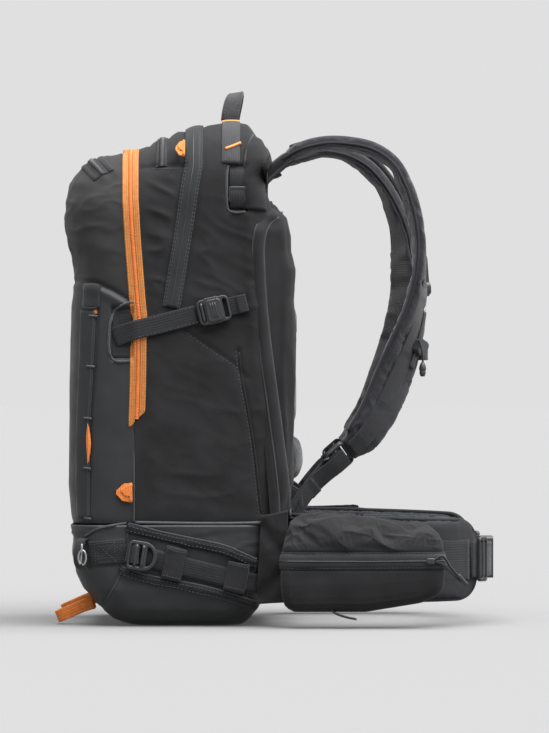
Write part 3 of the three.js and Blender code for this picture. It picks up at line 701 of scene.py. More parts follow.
# The front's outline from the side: height and how far forward the middle stands.
FRONT_OUTLINE = np.array([
    (107.5, -127), (150, -130.5), (200, -131), (301, -128.5), (339, -127), (360, -123.5),
    (371, -121), (391, -124),
    (408, -129), (428, -131.8), (447, -131), (467, -127), (484, -117), (492, -104), (496, -91), (500.5, -74),
    (503.5, -59.6)], float)
# The rear outline above the back panel: height and how far back the body stands.
REAR_OUTLINE = [(425, 90), (448, 84), (462, 79), (474, 74), (482, 80), (492, 87), (504, 87),
                (520, 76), (534, 72)]


def belly(z):
    """How far the load pushes the sides out."""
    return 4.5 * np.sin(math.pi * np.clip((np.asarray(z, float) - BOOT_TOP) / 320, 0, 1))


def body_section(y, inset=0.0):
    dense = np.arange(-59, 90.01, 0.5)
    kernel = np.exp(-0.5 * (np.arange(-10, 10.1, 0.5) / 4.0) ** 2)
    sizes = []
    for column in (1, 2, 3):
        values = np.interp(dense, SECTIONS[:, 0], SECTIONS[:, column])
        padded = np.pad(values, 20, mode="reflect", reflect_type="odd")
        smoothed = np.convolve(padded, kernel / kernel.sum(), "valid")
        sizes.append(np.interp(y, dense, smoothed))
    top, half, shoulder = sizes
    return top - inset, half - inset, np.maximum(shoulder - inset, 1.0)


def body_point(y, share, inset=0.0):
    """A point on the body: share runs from 0 at the right-hand foot, over the top, to 1 at the left."""
    top, half, shoulder = body_section(y, inset)
    flat = np.maximum(half - shoulder, 0)
    quarter = shoulder * math.pi / 2
    whole = flat + quarter + top - shoulder - BOOT_TOP - 0.5
    a = (1 - 2 * share) * whole
    s = np.abs(a)
    angle = np.clip((s - flat) / shoulder, 0, math.pi / 2)
    x = np.minimum(s, flat) + shoulder * np.sin(angle)
    z = top - shoulder + shoulder * np.cos(angle) - np.maximum(s - flat - quarter, 0)
    x = x * (1 + belly(z) / HALF_WIDTH)
    return np.stack([np.sign(a) * x, y + 0 * x, z], -1)


def side_at_zip(z):
    """Half the pack's width at the front zip."""
    top, half, shoulder = body_section(ZIP_Y)
    rise = np.clip(z - (top - shoulder), 0, shoulder)
    return (half - shoulder + np.sqrt(np.maximum(shoulder**2 - rise**2, 0))) * (1 + belly(z) / HALF_WIDTH)


def grid_normals(points):
    """Outward normals of an open grid, pointing away from the pack's middle."""
    normals = unit(np.cross(np.gradient(points, axis=0), np.gradient(points, axis=1)))
    middle = points - np.array([0, 0, 300.0])
    return normals * np.sign((normals * middle).sum())


# z, y of the rear zip's middle
RIM_BAND = [(521, 3.8), (484, 3.8), (462, 0), (430, -4.5), (342, -18.5), (300, -26)]


def rim_band_y(z):
    heights, places = zip(*reversed(RIM_BAND))
    return np.interp(z, heights, places)


def side_folds(p, seed):
    """Loose fabric: long soft folds, and drag lines running up from the compression strap."""
    x, y, z = p[..., 0], p[..., 1], p[..., 2]
    soft = fbm(p, (70, 60, 44), seed, 2) * 1.5
    slanted = np.stack([x * 0.3, (y * 0.9 - z * 0.42), (z * 0.9 + y * 0.42)], -1)
    ridges = (1 - np.abs(fbm(slanted, (60, 66, 24), seed + 1, 2))) ** 3
    between = ease(z, 330, 380) * (1 - ease(z, 455, 500)) * (1 - ease(np.abs(y + 36), 12, 26))
    level = (1 - np.abs(fbm(p, (90, 120, 42), seed + 2, 2))) ** 3
    low = ease(z, 112, 150) * (1 - ease(z, 250, 300))
    rear = ease(z, 300, 340) * (1 - ease(z, 400, 450)) * ease(y, 0, 20)
    return soft + ridges * (0.5 + 3.0 * between + 1.6 * rear) + level * (0.4 + 1.3 * low)


def main_shell():
    """Sides, top and rear wall of the load compartment: one woven skin, gathered at its seams."""
    ys = np.concatenate([np.arange(ZIP_Y + 0.5, 84, 2.0), np.arange(84, REAR_Y, 1.5)])
    insets = np.concatenate([np.zeros(len(ys)), np.arange(0.5, 12, 2.5), np.linspace(14, 131, 36)])
    ys = np.concatenate([ys, np.full(len(insets) - len(ys), REAR_Y)])
    shares = np.linspace(0, 1, 520)
    p = body_point(ys[None, :], shares[:, None], insets[None, :])
    normals = grid_normals(p)
    x, y, z = p[..., 0], p[..., 1], p[..., 2]
    outside = 1 - ease(insets[None, :], 0, 8)
    sideways = ease(np.abs(normals[..., 0]), 0.25, 0.8)
    under_zip = crease(y - rim_band_y(z), 13) * (z > 330)
    near_seam = crease(distance_to_line(y, z, REAR_SEAM), 9)
    held = ease(np.abs(y - ZIP_Y), 6, 26) * ease(z, 108, 124) * (0.15 + 0.85 * ease(90 - y, 2, 20)) * outside
    held *= (1 - 0.85 * under_zip) * (1 - 0.7 * near_seam)
    push = side_folds(p, 3) * held * (0.25 + 0.75 * sideways)
    push -= 2.0 * crease(distance_to_line(y, z, [(-52, 484), (-5, 485)]), 2.4) * sideways
    push -= 1.8 * crease(distance_to_line(y, z, [(-5, 312), (18, 296), (45, 278), (60, 262)]), 2.6) * sideways
    push -= 2.4 * crease(distance_to_line(y, z, REAR_SEAM), 2.6) * sideways
    push += 2.6 * crease(distance_to_line(y, z, EDGE_ROLL), 6.5) * sideways
    for edge in (-10.5, 10.5):
        push -= 1.1 * crease(y - rim_band_y(z) - edge, 2.2) * (z > 330)
    for middle, width in ((-34, 7.5), (-14, 7)):
        push += 2.4 * crease(y - middle, width) * ease(z, 478, 492)
    for middle in (-44, -23.5):
        push -= 1.3 * crease(y - middle, 2.2) * ease(z, 482, 492)
    recess = ease(y, 38, 41) * (1 - ease(y, 60, 64)) * ease(z, 435, 440) * (1 - ease(z, 484, 488))
    push -= 7.0 * recess * ease(np.abs(x), 90, 105)
    push -= 1.5 * crease(z - BOOT_TOP, 5)
    points = p + normals * push[..., None]
    limit = np.interp(points[..., 2], *zip(*REAR_OUTLINE))
    points[..., 1] = np.where(points[..., 1] > 50, 50 + (points[..., 1] - 50) * (limit - 50) / 40,
                              points[..., 1])
    obj = grid("main_shell_fabric", points, PACK_FABRIC)
    return orient(obj)


def orient(obj):
    """Turns an open skin so that its faces look outward, away from the pack's middle."""
    obj.data.update()
    middle = Vector((0, 0, 0.3))
    vote = sum(p.normal.dot(p.center - middle) * p.area for p in obj.data.polygons)
    if vote < 0:
        obj.data.flip_normals()
    return obj


REAR_SEAM = [(51, 290), (53.6, 265.7), (62, 220), (67, 189), (74.6, 119.7)]
EDGE_ROLL = [(64, 432), (63, 400), (66, 343), (69, 289), (80, 216), (86, 150), (89, 112)]


def front_point(z, across):
    """The front's surface: across runs from 1 at the right zip round the front to -1 at the left."""
    z = np.asarray(z, float)
    forward = np.interp(z, FRONT_OUTLINE[:, 0], FRONT_OUTLINE[:, 1])
    half = side_at_zip(z)
    fine = np.linspace(0, math.pi / 2, 200)
    x = np.cos(fine) ** (2 / 5.5)
    y = np.sin(fine) ** (2 / 3.6)
    result = np.empty(np.broadcast(z, across).shape + (3,))
    for row in range(len(z)):
        px, py = x * half[row, 0], y * (forward[row, 0] - ZIP_Y)
        length = np.concatenate([[0], np.cumsum(np.hypot(np.diff(px), np.diff(py)))])
        place = (1 - np.abs(across[0])) * length[-1]
        result[row, :, 0] = np.interp(place, length, px) * np.sign(across[0])
        result[row, :, 1] = ZIP_Y + np.interp(place, length, py)
        result[row, :, 2] = z[row]
    return result


WINDOW = dict(y=(-83, -62), z=(281, 340))  # opening that the compression strap comes through
POCKET_SEAM = [(-122, 364), (-99, 362), (-82, 354), (-63, 343)]


def front_skin():
    """Front panel from the boot seam to its zip: flat and laminated below, a padded goggle pocket above."""
    z = np.concatenate([np.arange(BOOT_TOP + 0.5, 440, 2.0), np.linspace(440, 500.5, 44)])[:, None]
    across = np.linspace(1, -1, 341)[None, :]
    p = front_point(z, across)
    normals = grid_normals(p)
    y, z = p[..., 1], p[..., 2]
    side = ease(np.abs(normals[..., 0]), 0.3, 0.8)
    held = ease(np.abs(y - ZIP_Y), 3, 16) * ease(z, 108, 126)
    pocket = ease(z, 352, 372)
    push = fbm(p, (70, 60, 70), 11) * (0.9 + 1.2 * pocket) * held
    push += (1 - np.abs(fbm(p, (70, 60, 34), 12))) ** 3 * 1.6 * pocket * held
    push += 2.0 * pocket * (1 - ease(z, 470, 498)) * ease(np.abs(y - ZIP_Y), 2, 30)
    seam = [(-140, 364), *POCKET_SEAM]
    push -= 2.6 * crease(distance_to_line(y, z, seam), 2.8) * (0.4 + 0.6 * side)
    push += 1.6 * crease(distance_to_line(y, z, [(a, b - 7) for a, b in seam]), 5) * (0.4 + 0.6 * side)
    window = (ease(y, WINDOW["y"][0] - 1, WINDOW["y"][0] + 2)
              * ease(z, WINDOW["z"][0] - 1, WINDOW["z"][0] + 2)
              * (1 - ease(z, WINDOW["z"][1] - 6, WINDOW["z"][1])))
    push -= 5.0 * window * side
    for line in (GOGGLE_ZIP, [(a + 11, b + 9) for a, b in GOGGLE_ZIP]):
        push += 1.8 * crease(distance_to_line(y, z, line), 5.5) * ease(z, 462, 474)
    push -= 1.4 * crease(z - BOOT_TOP, 5)
    push -= 1.2 * crease(distance_to_line(y, z, DAISY_LINE), 3.0) * side
    points = p + normals * push[..., None]
    obj = grid("front_panel_skin", points, SATIN_PANEL)
    orient(obj)
    obj.data.materials.append(MATTE_PANEL)
    for face in obj.data.polygons:
        place = face.center / MM
        limit = np.interp(place.y, [a for a, _ in seam], [b for _, b in seam])
        face.material_index = int(place.z > limit)
    return obj


GOGGLE_ZIP = [(-108, 494), (-100, 484), (-90, 469)]
DAISY_LINE = [(-97.6, 333), (-100.8, 274), (-105, 219.5), (-107, 167), (-109, 114.5)]


def plan_ring(z, y0, y1, half, radius, count):
    """A closed ring seen from above, with evenly spaced points from the middle of its rear edge."""
    corners = [(half - radius, y1 - radius, 90, 0), (half - radius, y0 + radius, 0, -90),
               (radius - half, y0 + radius, -90, -180), (radius - half, y1 - radius, -180, -270)]
    line = [(0, y1)]
    for x, y, start, end in corners:
        for angle in np.radians(np.linspace(start, end, 12)):
            line.append((x + radius * math.cos(angle), y + radius * math.sin(angle)))
    line.append((0, y1))
    line = np.array([(x, y, z) for x, y in line])
    length = np.concatenate([[0], np.cumsum(np.linalg.norm(np.diff(line, axis=0), axis=1))])
    places = np.linspace(0, length[-1], count, endpoint=False)
    return np.stack([np.interp(places, length, axis) for axis in line.T], -1)


BOOT_LEVELS = np.array([  # height, front, rear, half width, corner radius
    (0, -64, 54, 106, 30), (2.5, -72, 58, 116, 32), (7, -82, 63, 126, 34), (18, -95, 71.5, 136, 38),
    (39, -113.5, 79, 144, 40), (57, -121, 83, 146.5, 40), (76, -123.5, 86, 148, 38),
    (BOOT_TOP, -125.5, 89, 150, 36)], float)


def boot():
    """Base boot: a coated shell, rounded underneath, with soft dents where it is not filled."""
    heights = np.concatenate([[0], np.arange(0.8, 20, 1.6), np.arange(21, BOOT_TOP + 0.1, 2.15)])
    knots = BOOT_LEVELS[:, 0]
    rings = [plan_ring(z, *(np.interp(z, knots, BOOT_LEVELS[:, n]) for n in (1, 2, 3, 4)), 460)
             for z in heights]
    for share in (0.94, 0.8, 0.55, 0.25, 0.02):
        rings.insert(0, (rings[-len(heights)] - [0, -5, 0]) * [share, share, 1] + [0, -5, 0])
    p = np.stack(rings)
    normals = unit(np.cross(np.gradient(p, axis=0), np.gradient(p, axis=1)))
    normals *= np.sign((normals * (p - [0, 0, 60])).sum())
    x, y, z = p[..., 0], p[..., 1], p[..., 2]
    push = fbm(p, (70, 60, 42), 21) * 1.6 * ease(z, 2, 16) * (1 - ease(z, 92, 106))
    push += (1 - np.abs(fbm(p, (90, 70, 26), 22))) ** 4 * 1.5 * ease(z, 60, 80) * (1 - ease(z, 98, 106))
    push -= 1.6 * crease(distance_to_line(y, z, FRONT_SEAM), 2.6) * ease(np.abs(x), 60, 90)
    push += 1.2 * crease(z - BOOT_TOP, 7)
    points = p + normals * push[..., None]
    points[..., 2] = np.maximum(points[..., 2], 0)
    obj = grid("boot_skin", points, TARPAULIN, around=True)
    return orient(obj)


FRONT_SEAM = [(-65, 107), (-67, 76), (-72, 58), (-85, 33), (-94, 19)]


def build_body():
    shell, front, base = main_shell(), front_skin(), boot()
    skins = drape_tree(shell, front, base)
    settle(thicken(shell, 1.6, LINING), "pack", "main_shell", slot="pack_fabric")
    settle(thicken(front, 1.6, LINING), FOLD["body"], "front_panel", "front_lower_panel", "goggle_pocket",
           slot="matte_panel", span=FOLD["span"])
    settle(thicken(base, 1.8, LINING), "pack", "base_boot", slot="tarpaulin")
    return skins


# ---- zips ----
def over_the_top(y_of_z, low, step=3.0):
    """A line up the right side, over the top and down the left, ending at height `low`."""
    shares = np.linspace(0, 1, 1200)
    y = np.full(len(shares), float(y_of_z(480)))
    for _ in range(3):
        points = body_point(y, shares)
        y = y_of_z(points[:, 2])
    return resample(points[points[:, 2] >= low], step)


def inward(points):
    """Directions into the pack for a line that runs over its top."""
    along = unit(np.gradient(points, axis=0))
    across = unit(np.cross(along, [0, 1.0, 0]))
    outward = points - [0, 0, 330]
    outward[:, 1] = 0
    return -across * np.sign((across * outward).sum(-1, keepdims=True))


def offset_across(points, direction, distance):
    return points + unit(np.cross(direction, unit(np.gradient(points, axis=0)))) * distance


def coil(name, tree, path, direction, material, lift=1.2, width=3.6, pitch=1.5, height=1.1):
    """The interlocked teeth of a zip, stepping to the left and right in turn."""
    places, facing = draped_line(tree, path, direction, lift)
    fine = resample(places, pitch)
    index = np.linspace(0, len(facing) - 1, len(fine)).round().astype(int)
    out = facing[index]
    along = unit(np.gradient(fine, axis=0))
    across = unit(np.cross(along, out))
    shift = np.where(np.arange(len(fine)) % 2, 0.35, -0.35)[:, None]
    teeth = [(p, a * width, b * pitch * 0.62, c * height)
             for p, a, b, c in zip(fine + across * shift, across, along, out)]
    return scatter(name, TOOTH_POINTS, TOOTH_FACES, teeth, material)


def orange_zip_y(z):
    heights = (207, 259, 301, 324, 343, 406, 448, 500)
    return np.interp(z, heights, (-56, -54.5, -54, -53, -55, -60, -62.5, -63.5))


def build_front_zip(tree):
    """The front panel's zip, up both sides and over the top: two tapes cut on a slant, teeth between them."""
    path = over_the_top(orange_zip_y, 208, 2.0)
    into = inward(path)
    z = path[:, 2]
    cut = path[:, 1] + (z - 210) * 0.94 - 7.5  # how far back the tapes reach at each height
    for name, body, edge in (("front", "front_flap", -8.6), ("rear", "pack", 2.0)):
        reach = np.minimum(path[:, 1] + edge + 6.6, cut)
        width = reach - (path[:, 1] + edge)
        keep = width > 0.4
        line = path[keep] * [1, 0, 1] + np.stack([0 * z, path[:, 1] + edge + width / 2, 0 * z], -1)[keep]
        tape = draped_band(f"zip_tape_{name}", tree, line, width[keep], 1.3, ORANGE_TAPE, into[keep], cols=7)
        settle(tape, body, slot="webbing_orange")
        whole = width > 6.5
        rows = [draped_line(tree, path[whole] + [0, edge + shift, 0], into[whole], 1.45)
                for shift in (1.2, 5.6)]
        settle(stitches(f"zip_tape_{name}_stitches", rows, ORANGE_THREAD, 3.4, 2.3, 0.55), body,
               slot="webbing_orange")
    keep = z >= 217
    teeth = coil("zip_teeth", tree, path[keep], into[keep], ORANGE_COIL, lift=1.0, width=3.8)
    settle(teeth, "pack", slot="webbing_orange")
    bed = draped_band("zip_bed", tree, path[keep], 4.6, 0.8, ORANGE_COIL, into[keep], cols=5)
    settle(bed, "pack", slot="webbing_orange")


def build_rear_zip(tree):
    """The wide covered zip that leaves the top behind the lid and runs down each side."""
    path = over_the_top(rim_band_y, 336)
    into = inward(path)
    cover = draped_band("rear_zip_cover", tree, path, 18.5, 1.5, BLACK_TAPE, into, cols=15, crown=0.9)
    settle(cover, "pack", slot="pack_fabric")
    lines = []
    for shift in (-8.2, -6.4, 6.4, 8.2):
        lines.append(draped_line(tree, offset_across(path, into, shift), into, 1.75))
    settle(stitches("rear_zip_stitches", lines, DARK_THREAD), "pack", slot="pack_fabric")
    split, facing = draped_line(tree, path, into, 2.45)
    settle(tube("rear_zip_split", split, 0.55, BLACK_COIL, side=facing, sides=6), "pack", slot="pack_fabric")


def build_top_zips(tree):
    """A coil zip across the lid and the stitching of a second one beside it, between their raised garages."""
    for name, y0, low, width in (("lid_zip", -30.0, 484, 11), ("pocket_zip", -18.5, 500, 0)):
        path = over_the_top(lambda z, y0=y0: y0 + 0 * np.asarray(z, float), low)
        into = inward(path)
        if width:
            tape = draped_band(f"{name}_tape", tree, path, width, 1.0, BLACK_TAPE, into, cols=7)
            settle(tape, "pack", slot="pack_fabric")
            settle(coil(f"{name}_teeth", tree, path, into, BLACK_COIL, lift=1.6, width=5), "pack",
                   slot="plastic_black")
            rows = [draped_line(tree, path + [0, edge, 0], into, 1.3) for edge in (-4.6, 4.6)]
            settle(stitches(f"{name}_stitches", rows, GREY_THREAD), "pack", slot="pack_fabric")
        else:
            rows = [draped_line(tree, path + [0, edge, 0], into, 0.5) for edge in (-5, 5)]
            settle(stitches(f"{name}_stitches", rows, GREY_THREAD), "pack", slot="pack_fabric")


def build_goggle_zip(tree):
    """The goggle pocket's zip, across the top of the front panel, with a rain flap beside it."""
    x = np.linspace(-127, 127, 100)
    share = np.abs(x) / 127
    path = np.stack([x, -104 + 15 * share**4, 490 - 18 * share**4], -1)
    into = -unit(np.stack([np.sign(x) * 1.2 * share**3, -0.75 + 0.3 * share**3, 0.66 + 0 * x], -1))
    tape = draped_band("goggle_zip_tape", tree, path, 12, 1.1, BLACK_TAPE, into, cols=7)
    settle(tape, "front_flap", slot="matte_panel")
    settle(coil("goggle_zip_teeth", tree, path, into, BLACK_COIL, lift=1.7, width=5), "front_flap",
           slot="plastic_black")
    side = np.sign(offset_across(path, into, 1)[50, 1] - path[50, 1])
    for name, shift in (("flap", 9.5), ("hem", -8.5)):
        band = draped_band(f"goggle_zip_{name}", tree, offset_across(path, into, shift * side), 7,
                           0.8, MATTE_PANEL, into, cols=7, crown=0.8)
        settle(band, "front_flap", slot="matte_panel")
    rows = [draped_line(tree, offset_across(path, into, edge), into, 1.35) for edge in (-5, 5)]
    settle(stitches("goggle_zip_stitches", rows, GREY_THREAD), "front_flap", slot="matte_panel")


def pull_tab(name, origin, across, up, length=21.0, reach=17.0):
    """A zip pull of folded webbing: two flat layers with a knuckle where they turn."""
    outline = [(0, -length / 2), (0, length / 2), (-reach * 0.55, length * 0.44),
               (-reach * 0.97, length * 0.1), (-reach, -0.08 * length), (-reach * 0.6, -length * 0.42)]
    across, up = unit(across), unit(up)
    out = np.cross(across, up)
    inner = [(a * 0.62 - 1.2, b * 0.62 + length * 0.1) for a, b in outline]
    back = moulding(f"{name}_back", [outline], 1.7, 0.6, ORANGE_WEBBING, origin, across, up)
    fold = moulding(f"{name}_fold", [inner], 1.7, 0.7, ORANGE_WEBBING, origin + out * 1.5, across, up)
    knuckle = tube(f"{name}_knuckle", origin + across * -1.2 + out * 1.2
                   + np.linspace(-length / 2 + 1, length / 2 - 1, 9)[:, None] * up, 1.5,
                   ORANGE_WEBBING, side=out)
    rows = [(origin + out * 2.6 + across * -reach * 0.3 + np.linspace(-4.5, 4.5, 5)[:, None] * up, out)]
    sewn = stitches(f"{name}_stitches", rows, ORANGE_THREAD, 2.4, 1.7, 0.6)
    return join_pieces(name, [back, fold, knuckle, sewn])


def join_pieces(name, pieces):
    """Joins finished pieces of one article into a single object, with their modifiers applied."""
    depsgraph = bpy.context.evaluated_depsgraph_get()
    for piece in pieces:
        if piece.modifiers:
            mesh = bpy.data.meshes.new_from_object(piece.evaluated_get(depsgraph))
            piece.modifiers.clear()
            piece.data = mesh
    with bpy.context.temp_override(active_object=pieces[0], selected_editable_objects=pieces):
        bpy.ops.object.join()
    pieces[0].name = name
    pieces[0].data.name = name
    return pieces[0]


def build_pulls():
    front = pull_tab("front_zip_pull", np.array([154.2, -60.5, 141.5]), (0, 1, 0), (0, 0, 1))
    settle_pair(front, "front_zip_{side}", "front_zip_slider_{side}", slot="webbing_orange")
    slope = unit([-0.73, 0, 0.68])
    main = pull_tab("main_zip_pull", np.array([138.8, -5.5, 503.5]), (0, 1, 0), slope, 25, 10)
    settle(main, "main_zip", "main_zip_slider", slot="webbing_orange")


# ---- on the sides ----
SIDE_X = 152.0  # just outside the pack's side


def side_line(points, step=3.0, x=SIDE_X):
    """A smooth line on the right-hand side, given as (y, z)."""
    return smooth([(x, y, z) for y, z in points], step)


def box_stitch(corners):
    """The four sides and two diagonals of a box stitch, as lines of points."""
    a, b, c, d = (np.asarray(corner, float) for corner in corners)
    return [np.linspace(p, q, 12) for p, q in ((a, b), (b, c), (c, d), (d, a), (a, c), (b, d))]


def build_window(tree):
    """The opening beside the zip where the compression strap comes out, with its bound edge."""
    y0, y1 = WINDOW["y"]
    z0, z1 = WINDOW["z"]
    bound = side_line([(y1 + 4, z1 + 1), (y0 + 12, z1 - 1), (y0 + 2, z1 - 10), (y0 - 1.5, (z0 + z1) / 2),
                       (y0 - 1, z0 + 6), (y0 + 3, z0 - 1), (y1, z0 - 1.5)], 2.5)
    places, facing = draped_line(tree, bound, INWARD, 0.8)
    edge = tube("window_binding", places, 1.2, PIPING, side=facing, sides=8)
    settle_pair(edge, "front_flap", slot="pack_fabric")
    inside = draped_band("window_lining", tree, side_line([(y0 + 11, z0 + 2), (y0 + 11, z1 - 6)]), 19, 0.8,
                         BLACK_TAPE, lift=0.2)
    settle_pair(inside, "front_flap", slot="pack_fabric")
    for number, (z, lean) in enumerate(((300, 1.5), (311, -2.0), (322, 2.5))):
        path = smooth([(146.5, y0 + 4, z - lean), (149, y0 + 10, z), (149.5, y1 + 2, z + lean)], 2)
        layer = ribbon(f"window_webbing_{number}", path, UP, 12, 2.2, BLACK_WEBBING, sides=14)
        settle_pair(layer, "front_flap", slot="webbing_black")


def build_compression_strap():
    """Side compression strap with its side-release buckle: hook tongue in front, frame and tail behind."""
    path = smooth([(150, -80, 304), (154.5, -66, 309.8), (158.4, -57, 312.5), (158.2, -48, 314.7),
                   (157.6, -30, 319), (157.6, 6, 328.5)], 3)
    strap = ribbon("compression_strap_web", path, (0, -0.28, 1), 20, 1.9, BLACK_WEBBING)
    across, _, out = axes_along(path, (0, -0.28, 1))
    rows = [(path[5:] + across[5:] * s + out[5:] * 1.0 * np.sign(out[5:, :1]), (1, 0, 0))
            for s in (-8.2, 8.2)]
    sewn = stitches("compression_strap_stitches", rows, DARK_THREAD)
    settle_pair(strap, "pack", "compression_strap_{side}", slot="webbing_black")
    settle_pair(sewn, "pack", slot="webbing_black")

    lean = math.atan2(8, 34)
    forward = np.array([0, math.cos(lean), math.sin(lean)])
    upward = np.array([0, -math.sin(lean), math.cos(lean)])
    centre = np.array([160.6, 25.5, 333.0])
    frame_outline = [rounded(34, 27, 5), rounded(4, 20, 1.5, -12), rounded(4, 20, 1.5, 12.5)]
    body = moulding("compression_buckle_frame", frame_outline, 6.4, 1.2, BLACK_PLASTIC, centre,
                    forward, upward)
    dome = moulding("compression_buckle_dome", [rounded(17, 24, 4)], 3.6, 1.4, BLACK_PLASTIC,
                    centre + [3.6, 0.5 * forward[1], 0], forward, upward)
    arms = [moulding(f"compression_buckle_arm_{n}", [rounded(15, 3.6, 1.6)], 3.4, 1.1, BLACK_PLASTIC,
                     centre + forward * -1 + upward * (n * 12.4) + [1.6, 0, 0], forward, upward)
                     for n in (-1, 1)]
    bar = tube("compression_buckle_bar", centre + forward * -12 + [3.4, 0, 0]
               + np.linspace(-10, 10, 8)[:, None] * upward, 1.5, BLACK_PLASTIC, side=forward, sides=12)
    ribs = [tube(f"compression_buckle_rib_{n}", centre + forward * (2.5 * n) + [5.6, 0, 0]
                 + np.linspace(-8, 8, 6)[:, None] * upward, 0.6, BLACK_PLASTIC, side=forward, sides=8)
            for n in (-1, 0, 1)]
    buckle = join_pieces("compression_buckle_shell", [body, dome, *arms, bar, *ribs])
    settle_pair(buckle, "pack", "compression_buckle_{side}", slot="plastic_black")
    tail = smooth([(157.2, 34, 335), (157.6, 48, 338.4), (157.8, 60, 341.2)], 2)
    settle_pair(ribbon("compression_tail", tail, (0, -0.28, 1), 19, 1.7, BLACK_WEBBING), "pack",
                slot="webbing_black")
    hem = smooth([(159.6, 50, 338.9), (159.7, 55, 340), (159.5, 60.4, 341.3)], 2)
    settle_pair(ribbon("compression_tail_hem", hem, (0, -0.28, 1), 18.6, 1.7, BLACK_WEBBING), "pack",
                slot="webbing_black")


def build_side_seams(tree):
    """Topstitching and bound seams of the side panels."""
    lines = {
        "rear_seam": [(a - 2.5, b) for a, b in REAR_SEAM],
        "diagonal_seam": [(-3, 309), (18, 293.5), (45, 275.5), (50, 272)],
        "lid_seam": [(-52, 481.5), (-30, 481.8), (-7, 482.5)],
    }
    rows = [draped_line(tree, side_line(points, 4), INWARD, 0.4) for points in lines.values()]
    settle_pair(stitches("side_topstitching", rows, DARK_THREAD), "pack", slot="pack_fabric")
    for name, points, radius, material in (
            ("boot_welt",
             [(-59, BOOT_TOP + 3), (0, BOOT_TOP + 2), (50, BOOT_TOP + 2), (84, BOOT_TOP + 3)], 2.2,
             TARPAULIN),
            ("rear_piping", [(a + 0.8, b) for a, b in REAR_SEAM], 0.9, PACK_FABRIC)):
        places, facing = draped_line(tree, side_line(points, 4), INWARD, 0.3)
        settle_pair(tube(name, places, radius, material, side=facing, sides=10), "pack", slot="pack_fabric")
    places, facing = draped_line(tree, side_line([(-58.6, 204), (-58.6, 160), (-58.6, 110)], 3), INWARD, 0.3)
    settle_pair(tube("front_seam_upper", places, 0.9, DARK_THREAD, side=facing, sides=6), "pack",
                slot="pack_fabric")
    places, facing = draped_line(tree, side_line(FRONT_SEAM[::-1], 3), INWARD, 0.2)
    settle_pair(tube("front_seam_lower", places, 1.0, DARK_THREAD, side=facing, sides=6), "pack",
                slot="tarpaulin")
    bound = side_line([(-110, 95), (-98, 103), (-84, 106.5), (-66, 109.5)], 3)
    places, facing = draped_line(tree, bound, INWARD, 0.8)
    settle_pair(tube("front_corner_binding", places, 1.6, TARPAULIN, side=facing, sides=8), "pack",
                slot="tarpaulin")


def build_daisy_chain(tree):
    """The front panel's lash strip: folded, tacked down at intervals, its orange lining showing."""
    corner = unit([-0.8, 0.6, 0])
    line = smooth([(146, y, z) for y, z in DAISY_LINE], 3)
    strip = draped_band("lash_strip", tree, line + [0, -11, 0], 20, 2.0, SATIN_PANEL, corner, cols=11)
    settle_pair(strip, FOLD["body"], span=FOLD["span"], slot="matte_panel")
    fold, facing = draped_line(tree, line + [0, -1.5, 0], corner, 1.6)
    settle_pair(tube("lash_fold", fold, 1.3, SATIN_PANEL, side=facing, sides=8), FOLD["body"],
                span=FOLD["span"], slot="matte_panel")
    for number, (y, z) in enumerate([(-97.8, 327), *DAISY_LINE[1:]]):
        bar = smooth([(146, y - 7, z + 0.5), (146, y, z), (146, y + 5.5, z - 0.5)], 1.5)
        places, facing = draped_line(tree, bar, corner, 2.6)
        tack = tube(f"lash_tack_{number}", places, 1.25, DARK_THREAD, side=facing, sides=8)
        body = "front_flap" if z > 226 else "pack" if z < 190 else None
        if body:
            settle_pair(tack, body, slot="webbing_black")
        else:
            settle_pair(tack, FOLD["body"], span=FOLD["span"], slot="webbing_black")
    lens = smooth([(146, -106.8, 214), (146, -106, 203), (146, -105.6, 192), (146, -106.2, 181),
                   (146, -107.2, 172)], 2)
    bow = 0.6 + 5.4 * np.sin(np.linspace(0, math.pi, len(lens)))
    lining = draped_band("lash_lining", tree, lens, bow, 1.4, ORANGE_WEBBING, corner, lift=1.6,
                         cols=7, crown=0.8)
    settle_pair(lining, FOLD["body"], span=FOLD["span"], slot="webbing_orange")
    tab = draped_band("lash_anchor", tree, smooth([(146, -104, 360), (146, -104.5, 336)], 2), 21, 2.4,
                      BLACK_WEBBING, corner, cols=11)
    settle_pair(tab, "front_flap", slot="webbing_black")
    hem, facing = draped_line(tree,
                              smooth([(146, -114, 336), (146, -104, 334.8), (146, -94, 336)], 2), corner, 1.5)
    settle_pair(tube("lash_anchor_hem", hem, 1.7, BLACK_WEBBING, side=facing, sides=8), "front_flap",
                slot="webbing_black")
    tag = draped_band("lash_tag", tree, smooth([(146, -98, 337), (146, -97.4, 329)], 1.5), 3.4, 1.8,
                      ORANGE_WEBBING, corner, cols=5)
    settle_pair(tag, "front_flap", slot="webbing_orange")


# ---- on the boot ----
BAND_UPPER = [(-66, 105), (-20, 93.5), (39, 80), (68, 67)]
BAND_LOWER = [(-73, 59), (-45, 50), (-10, 43.5), (40, 32), (68, 22)]
BAND_MIDDLE = [(-47, 74.5), (-16, 66.5), (34, 54), (74, 45)]


